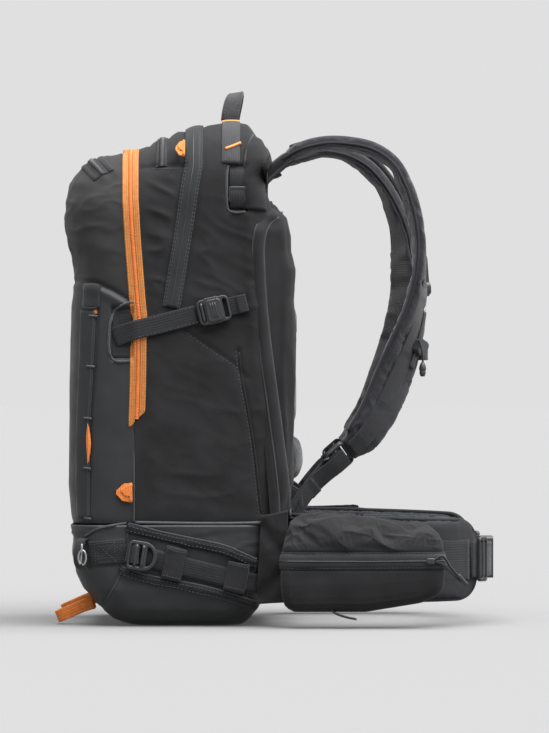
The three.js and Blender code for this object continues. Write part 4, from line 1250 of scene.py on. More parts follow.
def build_boot_band(tree):
    """The ski-carry band on each side of the boot: panel, webbing, two keepers and a ladderlock."""
    panel = draped_band("band_panel", tree, side_line([(-70, 81), (-16, 68), (30, 56), (64, 45)]),
                        42, 1.0, BLACK_TAPE, cols=17)
    settle_pair(panel, "pack", "side_band_{side}", slot="webbing_black")
    for name, line in (("upper", BAND_UPPER), ("lower", BAND_LOWER)):
        path = side_line(line)
        hem = draped_band(f"band_hem_{name}", tree, path, 9, 2.2, STRAP_EDGE, lift=0.8, cols=9, crown=0.8)
        settle_pair(hem, "pack", slot="webbing_black")
        edge, facing = draped_line(tree, path + [0, 1.2, 4.6], INWARD, 2.2)
        settle_pair(tube(f"band_piping_{name}", edge, 1.05, PIPING, side=facing, sides=8), "pack",
                    slot="pack_fabric")
        rows = [draped_line(tree, path + [0, -0.8, shift], INWARD, 4.0) for shift in (-2.6, 2.2)]
        settle_pair(stitches(f"band_hem_{name}_stitches", rows, GREY_THREAD), "pack", slot="webbing_black")
    strap = draped_band("band_webbing", tree, side_line(BAND_MIDDLE), 20, 1.9, BLACK_WEBBING,
                        lift=2.2, cols=11)
    settle_pair(strap, "pack", slot="webbing_black")
    for number, (y, z, height) in enumerate(((-16.5, 67, 33), (48, 53.5, 30))):
        lean = np.array([0, 0.21, 1.0])
        path = np.array([150, y, z]) + np.linspace(-height / 2, height / 2, 16)[:, None] * lean
        keeper = draped_band(f"band_keeper_{number}", tree, path, 21, 2.2, BLACK_WEBBING, lift=4.2, cols=11)
        settle_pair(keeper, "pack", slot="webbing_black")
        rows = []
        for end in (-height / 2 + 3, height / 2 - 3):
            ends = (np.array([150, y, z]) + end * lean
                    + np.linspace(-8.5, 8.5, 8)[:, None] * np.array([0, 1, -0.22]))
            rows.append(draped_line(tree, ends, INWARD, 6.6))
        settle_pair(stitches(f"band_keeper_{number}_stitches", rows, GREY_THREAD, 3.0, 2.2), "pack",
                    slot="webbing_black")

    lean = math.radians(-9)
    forward = np.array([0, math.cos(lean), math.sin(lean)])
    upward = np.array([0, -math.sin(lean), math.cos(lean)])
    centre = np.array([154.6, -51, 75.0])
    bow = [(2 + 15 * math.cos(a), 15.5 * math.sin(a)) for a in np.linspace(-math.pi / 2, math.pi / 2, 16)]
    outline = [*bow, *[(2, 15.5), (-11, 15.5), (-14, 12.5), (-14, -12.5), (-11, -15.5)]]
    holes = [rounded(4.2, 23, 1.6, -9.4), rounded(4.2, 23, 1.6, -2.2),
             [(6 + 6.4 * math.cos(a), 10.2 * math.sin(a))
              for a in np.linspace(-math.pi / 2, math.pi / 2, 12)]]
    lock = moulding("band_ladderlock", [outline, *holes], 4.8, 1.3, BLACK_PLASTIC, centre, forward, upward)
    bars = [tube(f"band_ladderlock_bar_{n}", centre + forward * x + [1.7, 0, 0]
                 + np.linspace(-11.5, 11.5, 8)[:, None] * upward, 1.7, BLACK_PLASTIC, side=forward, sides=12)
            for n, x in enumerate((-5.8, 1.6))]
    settle_pair(join_pieces("band_ladderlock", [lock, *bars]), "pack", slot="plastic_black")
    loop = smooth([(152, -66, 79), (155.6, -60, 77.5), (157.2, -56.8, 77), (155.2, -54, 76),
                   (153, -62, 77.5)], 1.6)
    settle_pair(ribbon("band_ladderlock_loop", loop, upward, 20, 1.6, BLACK_WEBBING), "pack",
                slot="webbing_black")


def build_front_block(tree):
    """Sewn webbing block on the boot's front corner, and the loop that the tool hook hangs from."""
    corner = unit([-0.85, 0.5, 0])
    block = draped_band("front_block", tree,
                        smooth([(146, -106, 77), (147, -90, 78), (150, -68, 80)], 3), 27, 1.8,
                        BLACK_WEBBING, corner, cols=11)
    settle_pair(block, "pack", slot="webbing_black")
    rows = []
    for line in box_stitch([(147, -96, 68), (148, -78, 69.5), (148, -78, 89), (147, -96, 88)]):
        rows.append(draped_line(tree, line, corner, 2.0))
    for line in ([(147, -100, 66), (147, -100, 90)], [(149, -72, 68), (149, -72, 92)]):
        rows.append(draped_line(tree, smooth(line, 2), corner, 2.0))
    settle_pair(stitches("front_block_stitches", rows, GREY_THREAD, 3.0, 2.2, 0.65), "pack",
                slot="webbing_black")
    path = smooth([(140, -107, 91), (143, -113, 92), (146, -117, 84), (146.5, -118, 74), (144, -116, 64),
                   (140, -111, 60)], 2)
    loop = ribbon("hook_loop", path, (0.62, 0.78, 0), 12, 2.0, BLACK_WEBBING)
    settle_pair(loop, "pack", slot="webbing_black")
    turn = np.linspace(0, 1.86 * math.pi, 40)
    ring = np.stack([149.5 + 0 * turn, -113 + 4.0 * np.sin(turn), 73 - 7.6 * np.cos(turn)], -1)
    shank = smooth([ring[-1], (149.5, -113.5, 83), (148.5, -113.5, 87.5)], 1.2)
    hook = join_pieces("tool_hook_wire", [tube("hook_ring", ring, 1.1, STEEL, side=RIGHT, sides=12),
                                          tube("hook_shank", shank, 1.1, STEEL, side=RIGHT, sides=12)])
    settle(hook, "tool_hook", "tool_hook", slot="steel")


def build_axe_loops():
    """Ice-axe loops of orange webbing, from the front of the base."""
    root, tip = np.array([0, -103, 23.0]), np.array([0, -142, 8.4])

    def leg(x, t, drop=0.0):
        return (x, root[1] + (tip[1] - root[1]) * t, root[2] + (tip[2] - root[2]) * t - drop)

    across = unit(np.cross(RIGHT, tip - root))
    path = smooth([leg(62, 0), leg(62, 0.3, -0.8), leg(62.5, 0.68), leg(66.5, 0.92, 0.5), leg(75, 1, 0.6),
                   leg(83.5, 0.92, 0.5), leg(87.5, 0.68), leg(88, 0.3, -0.8), leg(88, 0)], 2)
    loop = ribbon("axe_loop", path, across, 13, 2.1, ORANGE_WEBBING)
    settle_pair(loop, "axe_loop_{side}", "ice_axe_loop_{side}", slot="webbing_orange")
    sides, _, out = axes_along(path, across)
    rows = [(path[4:-4] + sides[4:-4] * shift + out[4:-4] * lift, out[4:-4] * np.sign(lift))
            for shift in (-5, 5) for lift in (-1.15, 1.15)]
    sewn = stitches("axe_loop_stitches", rows, ORANGE_THREAD, 3.4, 2.3, 0.55)
    settle_pair(sewn, "axe_loop_{side}", slot="webbing_orange")


# ---- on the top ----
def build_haul_loop(tree):
    """Grab handle: folded webbing, standing up and leaning towards the wearer."""
    foot, top = 536.5, 567.0
    path = smooth([(-44, 41, foot), (-43, 42, foot + 9), (-35, 45.5, top - 6), (-18, 47.5, top),
                   (0, 48, top + 0.8),
                   (18, 47.5, top), (35, 45.5, top - 6), (43, 42, foot + 9), (44, 41, foot)], 2.5)
    share = np.linspace(0, 1, len(path))
    width = 19 - 4 * np.sin(math.pi * share) ** 6
    handle = ribbon("haul_loop_web", path, (0, 1, 0.16), width, 3.2, GREY_WEBBING)
    bend = ((0, 41, foot), (0, 43, foot + 12))
    settle(handle, ("pack", "haul_loop"), "haul_loop", slot="webbing_grey", span=bend)
    across, _, out = axes_along(path, (0, 1, 0.16))
    rows = [(path[3:-3] + across[3:-3] * shift + out[3:-3] * 1.75 * lift, out[3:-3] * lift)
            for shift in (-6.6, 6.6) for lift in (-1, 1)]
    settle(stitches("haul_loop_stitches", rows, GREY_THREAD), ("pack", "haul_loop"),
           slot="webbing_grey", span=bend)
    line = over_the_top(lambda z: 43 + 0 * np.asarray(z, float), 487)
    line = line[line[:, 0] > 40]
    anchor = draped_band("haul_anchor", tree, line, 19, 1.8, GREY_WEBBING, inward(line), cols=11)
    settle_pair(anchor, "pack", slot="webbing_grey")
    for name, points, lift in (("upper", [(54, 33, 536), (54, 42.5, 536), (54, 52, 536)], 2.4),
                               ("lower", [(136, 37, 503), (134, 45, 506.5), (131, 53.5, 510.5)], 2.3)):
        into = unit([0, 0, -1.0]) if name == "upper" else unit([-0.75, 0, -0.66])
        places, facing = draped_line(tree, smooth(points, 1.5), into, lift)
        tack = tube(f"haul_tack_{name}", places, 1.5, ORANGE_THREAD, side=facing, sides=8)
        settle_pair(tack, "pack", slot="webbing_orange")


def build_yoke(tree):
    """The yoke's side wings and the recess with the load-lifter's ladderlock and webbing."""
    wing_line = smooth([(136, 70, 520), (145, 70, 506), (150, 71, 488), (150.5, 68, 470), (151, 68, 440)], 3)
    width = np.interp(wing_line[:, 2], (440, 470, 488, 506, 520), (24, 20, 27, 24, 12))
    wing = draped_band("yoke_wing", tree, wing_line, width, 2.2, PACK_FABRIC, unit([-1, 0, -0.25]), cols=15,
                       crown=1.2)
    settle_pair(wing, "pack", slot="strap_fabric")
    edge = smooth([(129, 66, 527), (139, 62, 513), (146, 58.5, 499), (150, 57.5, 484), (150, 58.5, 462)], 3)
    places, facing = draped_line(tree, edge, unit([-1, 0, -0.35]), 1.0)
    settle_pair(tube("yoke_piping", places, 1.1, GREY_WEBBING, side=facing, sides=8), "pack",
                slot="pack_fabric")
    recess = [(40, 486), (38.6, 478), (38.4, 446), (40, 437.5), (48, 435.5), (59, 436)]
    places, facing = draped_line(tree, side_line(recess, 2.5, 150), INWARD, 0.6)
    settle_pair(tube("recess_binding", places, 1.3, PIPING, side=facing, sides=8), "pack", slot="pack_fabric")
    floor = draped_band("recess_floor", tree, side_line([(50, 484), (50, 440)], 3), 19, 0.6, BLACK_TAPE)
    settle_pair(floor, "pack", slot="pack_fabric")
    strap = smooth([(140, 50, 484), (145, 50, 478), (146.5, 50, 466), (144.5, 50, 458)], 2)
    settle_pair(ribbon("lifter_webbing", strap, (0, 1, 0), 16, 1.8, BLACK_WEBBING), "pack",
                slot="webbing_black")
    lock = moulding("lifter_ladderlock",
                    [rounded(19, 17, 3), rounded(14, 3, 1, 0, 3.6), rounded(14, 3, 1, 0, -3.6)],
                    4, 1.0, BLACK_PLASTIC, np.array([147.5, 50, 455.0]), (0, 1, 0), (0, 0, 1))
    settle_pair(lock, "pack", slot="plastic_black")
    tail = smooth([(147.6, 50, 462), (149.6, 50, 455), (148.6, 50, 447), (146, 50, 441)], 2)
    settle_pair(ribbon("lifter_tail", tail, (0, 1, 0), 15, 1.8, BLACK_WEBBING), "pack", slot="webbing_black")


# ---- harness ----
STRAP_POINTS = {
    "right": [(51, 100, 496), (54, 117, 505), (57, 143, 511), (61, 170, 510), (65, 194, 504), (69, 214, 490),
              (72, 228, 466), (75, 238, 432), (77, 242, 394), (79, 240, 351), (83, 231, 308), (90, 215, 263),
              (97, 198, 224), (103, 179, 197), (105, 167, 186)],
    "left": [(51, 100, 496), (54, 117, 503), (57, 142, 507), (61, 167, 503), (65, 188, 492), (69, 205, 473),
             (72, 219, 446), (75, 226, 424), (77, 230, 396), (79, 233, 351), (83, 228, 308), (90, 214, 263),
             (97, 198, 224), (103, 179, 197), (105, 167, 186)],
}
STRAP_TURNS_FROM = {"right": 0.45, "left": 0.15}


class StrapCourse:
    """The middle line of one shoulder strap, as on the right-hand side, and places on its faces."""

    def __init__(self, side):
        self.line = smooth(STRAP_POINTS[side], 3.0)
        self.share = np.linspace(0, 1, len(self.line))
        along = unit(np.gradient(self.line, axis=0))
        out = unit(np.cross(RIGHT, along))
        turn = (STRAP_TWIST * ease(self.share, STRAP_TURNS_FROM[side], 0.9))[:, None]
        self.across, self.along, self.out = axes_along(self.line, RIGHT * np.cos(turn) - out * np.sin(turn))
        self.width = STRAP_WIDTH * np.where(self.share < 0.7, 1, 1 - 0.9 * (self.share - 0.7))

    def at(self, share, shift=0.0, lift=0.0):
        """Points at shares of the length, `shift` across the strap and `lift` out of it."""
        share = np.atleast_1d(share).astype(float)
        shift, lift = (np.broadcast_to(v, share.shape)[:, None] for v in (shift, lift))
        line, across, out = (np.stack([np.interp(share, self.share, axis) for axis in values.T], -1)
                             for values in (self.line, self.across, self.out))
        return line + unit(across) * shift + unit(out) * lift

    def facing(self, share):
        return unit(self.at(share, 0, 10) - self.at(share))

    def at_height(self, z):
        """The share at which the strap's falling half passes a height."""
        falling = np.flatnonzero(self.share > 0.4)
        return np.interp(-z, -self.line[falling, 2], self.share[falling])


def settle_side(obj, side, body, *nodes, span=None, **facts):
    """A piece made for the right-hand side, settled there or, as its mirror image, on the left."""
    obj.name = obj.data.name = f"{obj.name}_{side}"
    if side == "left":
        obj.data.transform(Matrix.Scale(-1, 4, (1, 0, 0)))
        obj.data.flip_normals()
        span = span and [(-x, y, z) for x, y, z in span]
    bodies = body.format(side=side) if isinstance(body, str) else [b.format(side=side) for b in body]
    return settle(obj, bodies, *(n.format(side=side) for n in nodes), span=span, **facts)


def build_shoulder_pad(side, course):
    """Padded shoulder strap: fabric outside, spacer mesh inside, puffed between bound edges."""
    sides = 32
    share, line = course.share, course.line
    outline = section(1, 1, sides, 0.3, 0.62)
    thickness = STRAP_THICKNESS * (0.7 + 0.3 * ease(share, 0, 0.06)) * (1 - 0.25 * ease(share, 0.93, 1))
    width = (course.width - 3) * (0.9 + 0.1 * ease(share, 0, 0.06)) * (1 - 0.3 * ease(share, 0.95, 1))
    points = (line[:, None] + course.across[:, None] * outline[None, :, :1] * width[:, None, None]
              + course.out[:, None] * outline[None, :, 1:] * (thickness[:, None, None] - 2.0))
    pad = grid("shoulder_pad_cover", points, STRAP_FABRIC, around=True, capped=True)
    pad.data.materials.append(STRAP_MESH)
    quads = (len(points) - 1) * sides
    for index, face in enumerate(pad.data.polygons):
        column = index % sides
        face.material_index = int(index < quads and (column < sides * 0.25 or column >= sides * 0.75))
    pinned = np.zeros(points.shape[:2])
    pinned[:, [sides // 4, 3 * sides // 4]] = 1
    pinned[:3] = pinned[-3:] = 1
    channel = (np.abs((share * 7) % 1 - 0.5) < 0.03) & (share > 0.1) & (share < 0.9)
    pinned[np.ix_(channel, [0, 1, 2, sides - 1, sides - 2])] = 0.85
    puff(pad, pinned.ravel(), 2.2, growth=0.03, cap=2.2)
    settle_side(pad, side, "strap_{side}", "shoulder_pad_{side}", slot="strap_fabric", fill=0.8)
    for sign, name in ((1, "outer"), (-1, "inner")):
        keep = share < 0.975
        edge = line[keep] + course.across[keep] * (sign * (width[keep] / 2 + 0.3))[:, None]
        bead = tube(f"strap_binding_{name}", edge, 1.7, STRAP_EDGE, side=course.out[keep], sides=12)
        settle_side(bead, side, "strap_{side}", slot="strap_fabric")
        inner = edge - course.out[keep] * 3.2 - course.across[keep] * (sign * 0.8)
        bead = tube(f"strap_piping_{name}", inner, 0.9, LIGHT_PIPING, side=course.out[keep], sides=8)
        settle_side(bead, side, "strap_{side}", slot="strap_fabric")
    place = np.linspace(0.05, 0.93, 170)
    shift = np.interp(place, share, width) / 2 - 6.5
    lift = np.interp(place, share, thickness) / 2 - 0.4
    rows = [(course.at(place, sign * shift, lift), course.facing(place)) for sign in (-1, 1)]
    settle_side(stitches("strap_topstitching", rows, GREY_THREAD), side, "strap_{side}", slot="strap_fabric")


def build_strap_webbing(side, course):
    """Webbing down the outside of the strap, its bar tacks, and the ladderlock at its end."""
    start = 0.47 if side == "right" else 0.66
    place = np.linspace(start, 0.995, 120)
    path = course.at(place, 4.0, STRAP_THICKNESS / 2 - 1.4 + 1.4 * ease(place, start, start + 0.03))
    out = course.facing(place)
    across = unit(np.cross(out, unit(np.gradient(path, axis=0))))
    settle_side(ribbon("strap_webbing", path, across, 25, 1.8, BLACK_WEBBING), side, "strap_{side}",
                slot="webbing_black")
    rows = [(path + across * shift + out * 1.1, out) for shift in (-10.5, 10.5)]
    for n in (2, 30, 60, 90, 112):
        for step in (-2.2, 0, 2.2):
            rows.append((path[n] + out[n] * 1.2 + unit(path[n + 1] - path[n]) * step
                         + np.linspace(-11, 11, 12)[:, None] * across[n], out[n]))
    settle_side(stitches("strap_webbing_stitches", rows, GREY_THREAD, 3.2, 2.3, 0.6), side, "strap_{side}",
                slot="webbing_black")

    end, across, along, out = course.line[-1], course.across[-1], course.along[-1], course.out[-1]
    centre = end + along * 13
    holes = [rounded(27, 5, 1.8, 0, y) for y in (6.8, -6.8)]
    lock = moulding("ladderlock_frame", [rounded(35, 26, 6), *holes], 5.2, 1.4, BLACK_PLASTIC, centre,
                    across, -along)
    bars = [tube(f"ladderlock_bar_{n}", centre + along * y + out * 1.4
                 + np.linspace(-14, 14, 8)[:, None] * across,
                 1.9, BLACK_PLASTIC, side=along, sides=12) for n, y in enumerate((0, 10.8))]
    lip = moulding("ladderlock_lip", [rounded(30, 7, 2.5)], 3.2, 1.1, BLACK_PLASTIC,
                   centre + along * 13.5 + out * 2.4, across, -along + out * 0.35)
    settle_side(join_pieces("ladderlock_body", [lock, *bars, lip]), side, "strap_{side}", "ladderlock_{side}",
                slot="plastic_black")

    anchor = np.array([124.0, 108, 119])
    lower = smooth([end + along * 9 + out * 1.8, end + along * 21 + out * 3.4, end + along * 30 + out * 0.5,
                    (115, 132, 152), (120.5, 119, 135), anchor], 2.5)
    web = ribbon("lower_webbing_strap", lower, across, 25, 2.0, BLACK_WEBBING)
    settle_side(web, side, ("pack", "strap_{side}"), "lower_webbing_{side}", slot="webbing_black",
                span=(tuple(anchor + [0, 6, 8]), tuple(end + along * 20)))
    tail = smooth([end + along * 6 + out * 4.8, end + along * 20 + out * 6.4, end + along * 34 + out * 5.2,
                   end + along * 46 + out * 4.0 + [0, -2, -3], end + along * 56 + out * 5.0 + [0, -4, -5]],
                   2.5)
    settle_side(ribbon("lower_webbing_tail", tail, across, 24, 1.8, BLACK_WEBBING), side, "strap_{side}",
                slot="webbing_black")
    hem_line = tail[-6:] + out * 2.0
    settle_side(ribbon("lower_webbing_hem", hem_line, across, 23.6, 1.8, BLACK_WEBBING), side, "strap_{side}",
                slot="webbing_black")


def build_anchor_wings():
    """The tabs on the pack's lower corners that hold the straps' lower webbing."""
    outline = [(0, -2), (9, -4), (22, 3), (29, 14), (27, 30), (20, 35), (4, 40), (0, 30)]
    wing = moulding("anchor_wing", [outline], 4.4, 1.8, BACK_FOAM, np.array([123.5, 90.5, 113]),
                    (0, 1, 0), (0, 0, 1))
    settle_pair(wing, "pack", slot="back_foam")
    middle = np.array([13.0, 17.0])
    ring = middle + (np.array(outline + outline[:1], float) - middle) * 0.8
    rows = [(np.stack([np.full(len(ring), 125.9), 90.5 + ring[:, 0], 113 + ring[:, 1]], -1), RIGHT)]
    settle_pair(stitches("anchor_wing_stitches", rows, DARK_THREAD, 3.2, 2.2), "pack", slot="webbing_black")


def build_strap_root(side, course):
    """Where the strap leaves the yoke: a thinner padded neck, half hidden under the yoke's wing."""
    path = smooth([(49, 72, 472), (50, 81, 480), (50.5, 91, 489), *course.line[[0, 2, 4]]], 3)
    neck = ribbon("strap_neck", path, RIGHT, np.linspace(62, 57, len(path)),
                  np.linspace(11.5, 10.5, len(path)), STRAP_FABRIC, sides=24, crown=0.6)
    settle_side(neck, side, ("pack", "strap_{side}"), slot="strap_fabric",
                span=((50, 90, 486), (53, 106, 499)))


def build_sternum(side, course):
    """Chest strap: rail, webbing from the slider to the buckle half, and on the right a cord toggle."""
    share = course.at_height(STERNUM_Z)
    lift = STRAP_THICKNESS / 2 + 5.5
    root = course.at(share, -26, lift)[0]
    bend = course.at(share, -38, lift - 4)[0]
    y, z = bend[1] - 12, root[2]
    path = smooth([course.at(share, -14, lift + 0.5)[0], root, (bend[0], bend[1], z),
                   (40, y + 3, z), (32, y, z), (22, y, z)], 2.5)
    settle_side(ribbon("sternum_web", path, UP, 20, 1.8, BLACK_WEBBING), side, "sternum_{side}",
                "sternum_webbing_{side}", slot="webbing_black")
    across, _, out = axes_along(path, UP)
    rows = [(path[6:] + across[6:] * s + out[6:] * 1.1 * k, out[6:] * k) for s in (-8, 8) for k in (-1, 1)]
    settle_side(stitches("sternum_stitches", rows, GREY_THREAD, 3.2, 2.2), side, "sternum_{side}",
                slot="webbing_black")
    rail = np.linspace(share - 0.08, share + 0.05, 24)
    bar = course.at(rail, -12, STRAP_THICKNESS / 2 + 2.0)
    settle_side(ribbon("sternum_rail", bar,
                       unit(np.cross(course.facing(rail), np.gradient(bar, axis=0))), 9, 2.4,
                       BLACK_PLASTIC, corner=0.6), side, "strap_{side}", slot="plastic_black")
    if side == "left":
        return
    hang = course.at(share, -2, lift + 2)[0]
    line = smooth([hang + [0, 0, 6], hang + [1, 3, -4], hang + [1.5, 4.2, -12], hang + [1.5, 4, -20]], 1.5)
    loop = tube("sternum_toggle_loop", line, 1.1, BLACK_WEBBING, side=RIGHT)
    knob_path = line[-1] + np.array([[0, 0, h] for h in np.linspace(2, -13, 22)])
    radius = (0.6 + 3.2 * np.sin(np.linspace(0.12, math.pi - 0.25, 22)) ** 0.6
              - 0.7 * crease(np.arange(22) - 13, 1.4))
    knob = ribbon("sternum_toggle_knob", knob_path, RIGHT, 2 * radius, 2 * radius, BLACK_PLASTIC,
                  sides=14, corner=1, crown=1)
    settle_side(join_pieces("sternum_toggle", [loop, knob]), side, "sternum_slider_{side}",
                slot="plastic_black")


def build_trigger_cover(course):
    """The left strap's sleeve over the trigger cable, which ends at the handle's housing."""
    place = np.linspace(0.03, course.at_height(402), 90)
    path = course.at(place, 0, STRAP_THICKNESS / 2 + 3.4)
    across = unit(np.cross(course.facing(place), unit(np.gradient(path, axis=0))))
    sleeve = ribbon("trigger_sleeve", path, across, 28, 9.0, STRAP_EDGE, sides=20, corner=0.5, crown=0.9)
    settle_side(sleeve, "left", "strap_{side}", "trigger_cable_strap", slot="strap_fabric")
    place = course.at_height(TRIGGER_Z)
    root = course.at(place, 0, STRAP_THICKNESS / 2 - 2)[0]
    tip = course.at(place, 0, STRAP_THICKNESS / 2 + 11)[0]
    cable = tube("trigger_cable_drawn", root + (tip - root) * np.linspace(0, 1, 30)[:, None], 1.5,
                 BLACK_PLASTIC, side=RIGHT, sides=10)
    settle_side(cable, "left", ("strap_{side}", "trigger"), slot="plastic_black",
                span=(tuple(root), tuple(tip)))


def build_harness():
    for side in STRAP_POINTS:
        course = StrapCourse(side)
        build_shoulder_pad(side, course)
        build_strap_webbing(side, course)
        build_strap_root(side, course)
        build_sternum(side, course)
    build_trigger_cover(course)
    build_anchor_wings()


# ---- hip belt ----
WING_POINTS = [(114, 102, BELT_Z), (134, 113, BELT_Z), (147, 138, BELT_Z), (152, 180, BELT_Z),
               (149, 226, BELT_Z), (135, 264, BELT_Z), (113, 290, BELT_Z)]


def build_hip_wings():
    """Hip-belt wings: foam between a fabric face and a mesh lining, bound along their edges."""
    line = smooth([*WING_POINTS, (106.5, 296.5, BELT_Z), (100, 301.5, BELT_Z)], 2.4)
    share = np.linspace(0, 1, len(line))
    across, along, out = axes_along(line, -UP)
    sides = 40
    outline = section(1, 1, sides, 0.16, 0.62)
    from_tip = np.concatenate([np.cumsum(np.linalg.norm(np.diff(line[::-1], axis=0), axis=1))[::-1], [0]])
    corner = 30 - np.sqrt(np.maximum(30**2 - np.maximum(30 - from_tip - 0.8, 0) ** 2, 0))
    height = 90 - 9 * share - 1.75 * corner
    lifted = line + UP * (2.5 - 2.5 * share)[:, None]
    thick = WING_THICKNESS - 2.2 - 3.5 * ease(share, 0.88, 1)
    points = (lifted[:, None] + across[:, None] * outline[None, :, :1] * height[:, None, None]
              + out[:, None] * outline[None, :, 1:] * thick[:, None, None])
    wing = grid("hip_wing_cover", points, BACK_FOAM, around=True, capped=True)
    wing.data.materials.append(BACK_MESH)
    middle = np.array([60.0, 190, BELT_Z])
    for face in wing.data.polygons:
        toward = Vector((middle - np.array(face.center / MM)) * [1, 1, 0]).normalized()
        face.material_index = int(face.normal.dot(toward) > 0.35)
    pinned = np.zeros(points.shape[:2])
    pinned[:, [sides // 4, 3 * sides // 4]] = 1
    pinned[:2] = pinned[-2:] = 1
    for column in (4, sides - 4):
        pinned[:, column] = 0.9
    puff(wing, pinned.ravel(), 2.6, growth=0.03, cap=2.4)
    settle_pair(wing, "belt_{side}", "hip_wing_{side}", slot="back_foam", fill=0.8)
    for sign, name in ((-1, "top"), (1, "bottom")):
        edge = lifted + across * (sign * (height / 2 + 0.2))[:, None]
        settle_pair(tube(f"hip_wing_binding_{name}", edge, 2.6, STRAP_EDGE, side=out, sides=12),
                    "belt_{side}", slot="back_foam")
    tip = (across[-1] * np.linspace(-height[-1] / 2, height[-1] / 2, 14)[:, None]
           + lifted[-1] + along[-1] * 0.6)
    settle_pair(tube("hip_wing_binding_tip", tip, 2.4, STRAP_EDGE, side=out[-1], sides=12), "belt_{side}",
                slot="back_foam")


POCKET_ROOF = [(96, 104), (108, 112), (122, 116), (160, 117), (205, 112), (245, 106), (268, 100)]
POCKET_FLOOR = [(96, 21), (110, 17), (185, 17), (240, 26), (268, 36)]


def hip_pocket():
    """The hip pocket's body: smooth below its zip, and a loose gathered gusset above."""
    heights = np.array([0, 0.012, 0.04, 0.09, 0.16, 0.3, 0.45, 0.58, 0.66, 0.74, 0.84, 0.93, 1.0, 1.03])
    outer = np.array([172, 178, 182, 184.5, 186, 187.5, 188, 187.5, 187, 185.5, 181.5, 175, 166, 161.5])
    front = np.array([13, 8, 4.5, 2.5, 1, 0, 0, 0.5, 1, 2, 4, 7, 12, 18])
    levels = np.concatenate([np.linspace(0, 0.1, 14), np.linspace(0.115, 1.03, 78)])
    rings = []
    for level in levels:
        x1, inset = np.interp(level, heights, outer), np.interp(level, heights, front)
        ring = plan_ring(0, -86 + inset, 86 - inset, (x1 - 158.8) / 2, min(9.5, (x1 - 158.8) / 2 - 0.4), 420)
        ring[:, 0] += (x1 + 158.8) / 2
        ring[:, 1] += 181.5
        floor = np.interp(ring[:, 1], *zip(*POCKET_FLOOR))
        roof = np.interp(ring[:, 1], *zip(*POCKET_ROOF))
        ring[:, 2] = floor + (roof - floor) * level
        rings.append(ring)
    for share in (0.96, 0.6, 0.2, 0.01):
        lowest, highest = rings[0], rings[-1]
        middle_low, middle_high = (r.mean(0) for r in (lowest, highest))
        if share == 0.96:
            base_low, base_high = lowest, highest
        rings.insert(0, middle_low + (base_low - middle_low) * [share, share, 1])
        rings.append(middle_high + (base_high - middle_high) * [share, share, 1])
    p = np.stack(rings)
    normals = unit(np.cross(np.gradient(p, axis=0), np.gradient(p, axis=1)))
    normals *= np.sign((normals * (p - p.mean((0, 1)))).sum())
    y, z = p[..., 1], p[..., 2]
    outward = ease(normals[..., 0], -0.1, 0.5)
    gusset = ease(z, 77, 86) * (1 - ease(z, 112, 118))
    slanted = np.stack([p[..., 0] * 0.4, y, z + 0.12 * y], -1)
    folds = (1 - np.abs(fbm(slanted, (60, 64, 24), 31, 2))) ** 2
    push = gusset * outward * (3.6 * folds - 1.4) + fbm(p, (60, 50, 36), 32, 2) * 0.9 * outward
    push += 2.6 * crease(z - 91, 12) * outward * np.sin(np.clip((y - 98) / 166, 0, 1) * math.pi) ** 0.5
    push -= 1.2 * crease(z - 79, 2.2) * outward + 1.2 * crease(z - 62.5, 2.2) * outward
    points = p + normals * push[..., None]
    points[..., 0] = np.maximum(points[..., 0], 158.2)
    obj = grid("hip_pocket_shell", points, PACK_FABRIC, around=True)
    orient(obj)
    pinned = np.clip(crease(z - 70.5, 11) * 1.6 + (1 - outward) + 0.93 * (1 - ease(z, 54, 70)), 0, 1)
    puff(obj, pinned.ravel(), 1.2, growth=0.045, cap=3.5)
    return obj


def build_hip_pockets():
    pocket = hip_pocket()
    tree = drape_tree(pocket)
    settle_pair(pocket, "belt_{side}", "hip_pocket_{side}", slot="pack_fabric", fill=0.45)
    route = smooth([(170, 97, 70.5), (184, 98.5, 70.5), (190, 112, 70.5), (190, 181, 70.5), (190, 252, 71),
                    (184, 264.5, 71), (172, 267, 71)], 3)
    into = unit(np.array([160.0, 181, 71]) - route) * [1, 1, 0]
    middle = ease(np.abs(route[:, 1] - 181), 62, 84)[:, None]
    into = unit(INWARD * (1 - middle) + unit(into) * middle)
    band = draped_band("pocket_zip_band", tree, route, 15.5, 1.3, BLACK_TAPE, into, cols=11, crown=0.8)
    settle_pair(band, "belt_{side}", slot="pack_fabric")
    split, facing = draped_line(tree, route, into, 2.3)
    settle_pair(tube("pocket_zip_split", split, 0.6, BLACK_COIL, side=facing, sides=6), "belt_{side}",
                slot="plastic_black")
    rows = [draped_line(tree, route + [0, 0, shift], into, 1.5) for shift in (-6.6, 6.6)]
    settle_pair(stitches("pocket_zip_stitches", rows, DARK_THREAD), "belt_{side}", slot="pack_fabric")
    for name, lift in (("upper", 8.2), ("lower", -8.0)):
        edge, facing = draped_line(tree, route + [0, 0, lift], into, 0.6)
        settle_pair(tube(f"pocket_piping_{name}", edge, 1.0, STRAP_EDGE, side=facing, sides=8), "belt_{side}",
                    slot="pack_fabric")

    slider = moulding("pocket_slider", [rounded(9, 6.5, 2.5)], 3.2, 1.2, BLACK_PLASTIC,
                      np.array([191.4, 252, 70.8]), (0, 1, 0), (0, 0, 1))
    cord = smooth([(191.5, 256, 72), (191, 264, 76), (188, 274, 63), (185, 284, 52), (184.5, 287, 49.5),
                   (184.5, 284, 50), (187, 274, 58), (190.5, 264, 68), (191.5, 257, 70)], 1.6)
    loop = tube("pocket_pull_cord", cord, 1.25, BLACK_WEBBING, side=RIGHT)
    knot = ribbon("pocket_pull_end",
                  smooth([(185.6, 281, 56), (184.6, 286, 50.5), (184.2, 290, 46)], 1), RIGHT,
                  4.6, 4.2, BLACK_PLASTIC, sides=14, corner=0.6, crown=0.6)
    settle_pair(join_pieces("pocket_pull", [slider, loop, knot]), "pocket_zip_{side}",
                "pocket_zip_slider_{side}", slot="webbing_black")


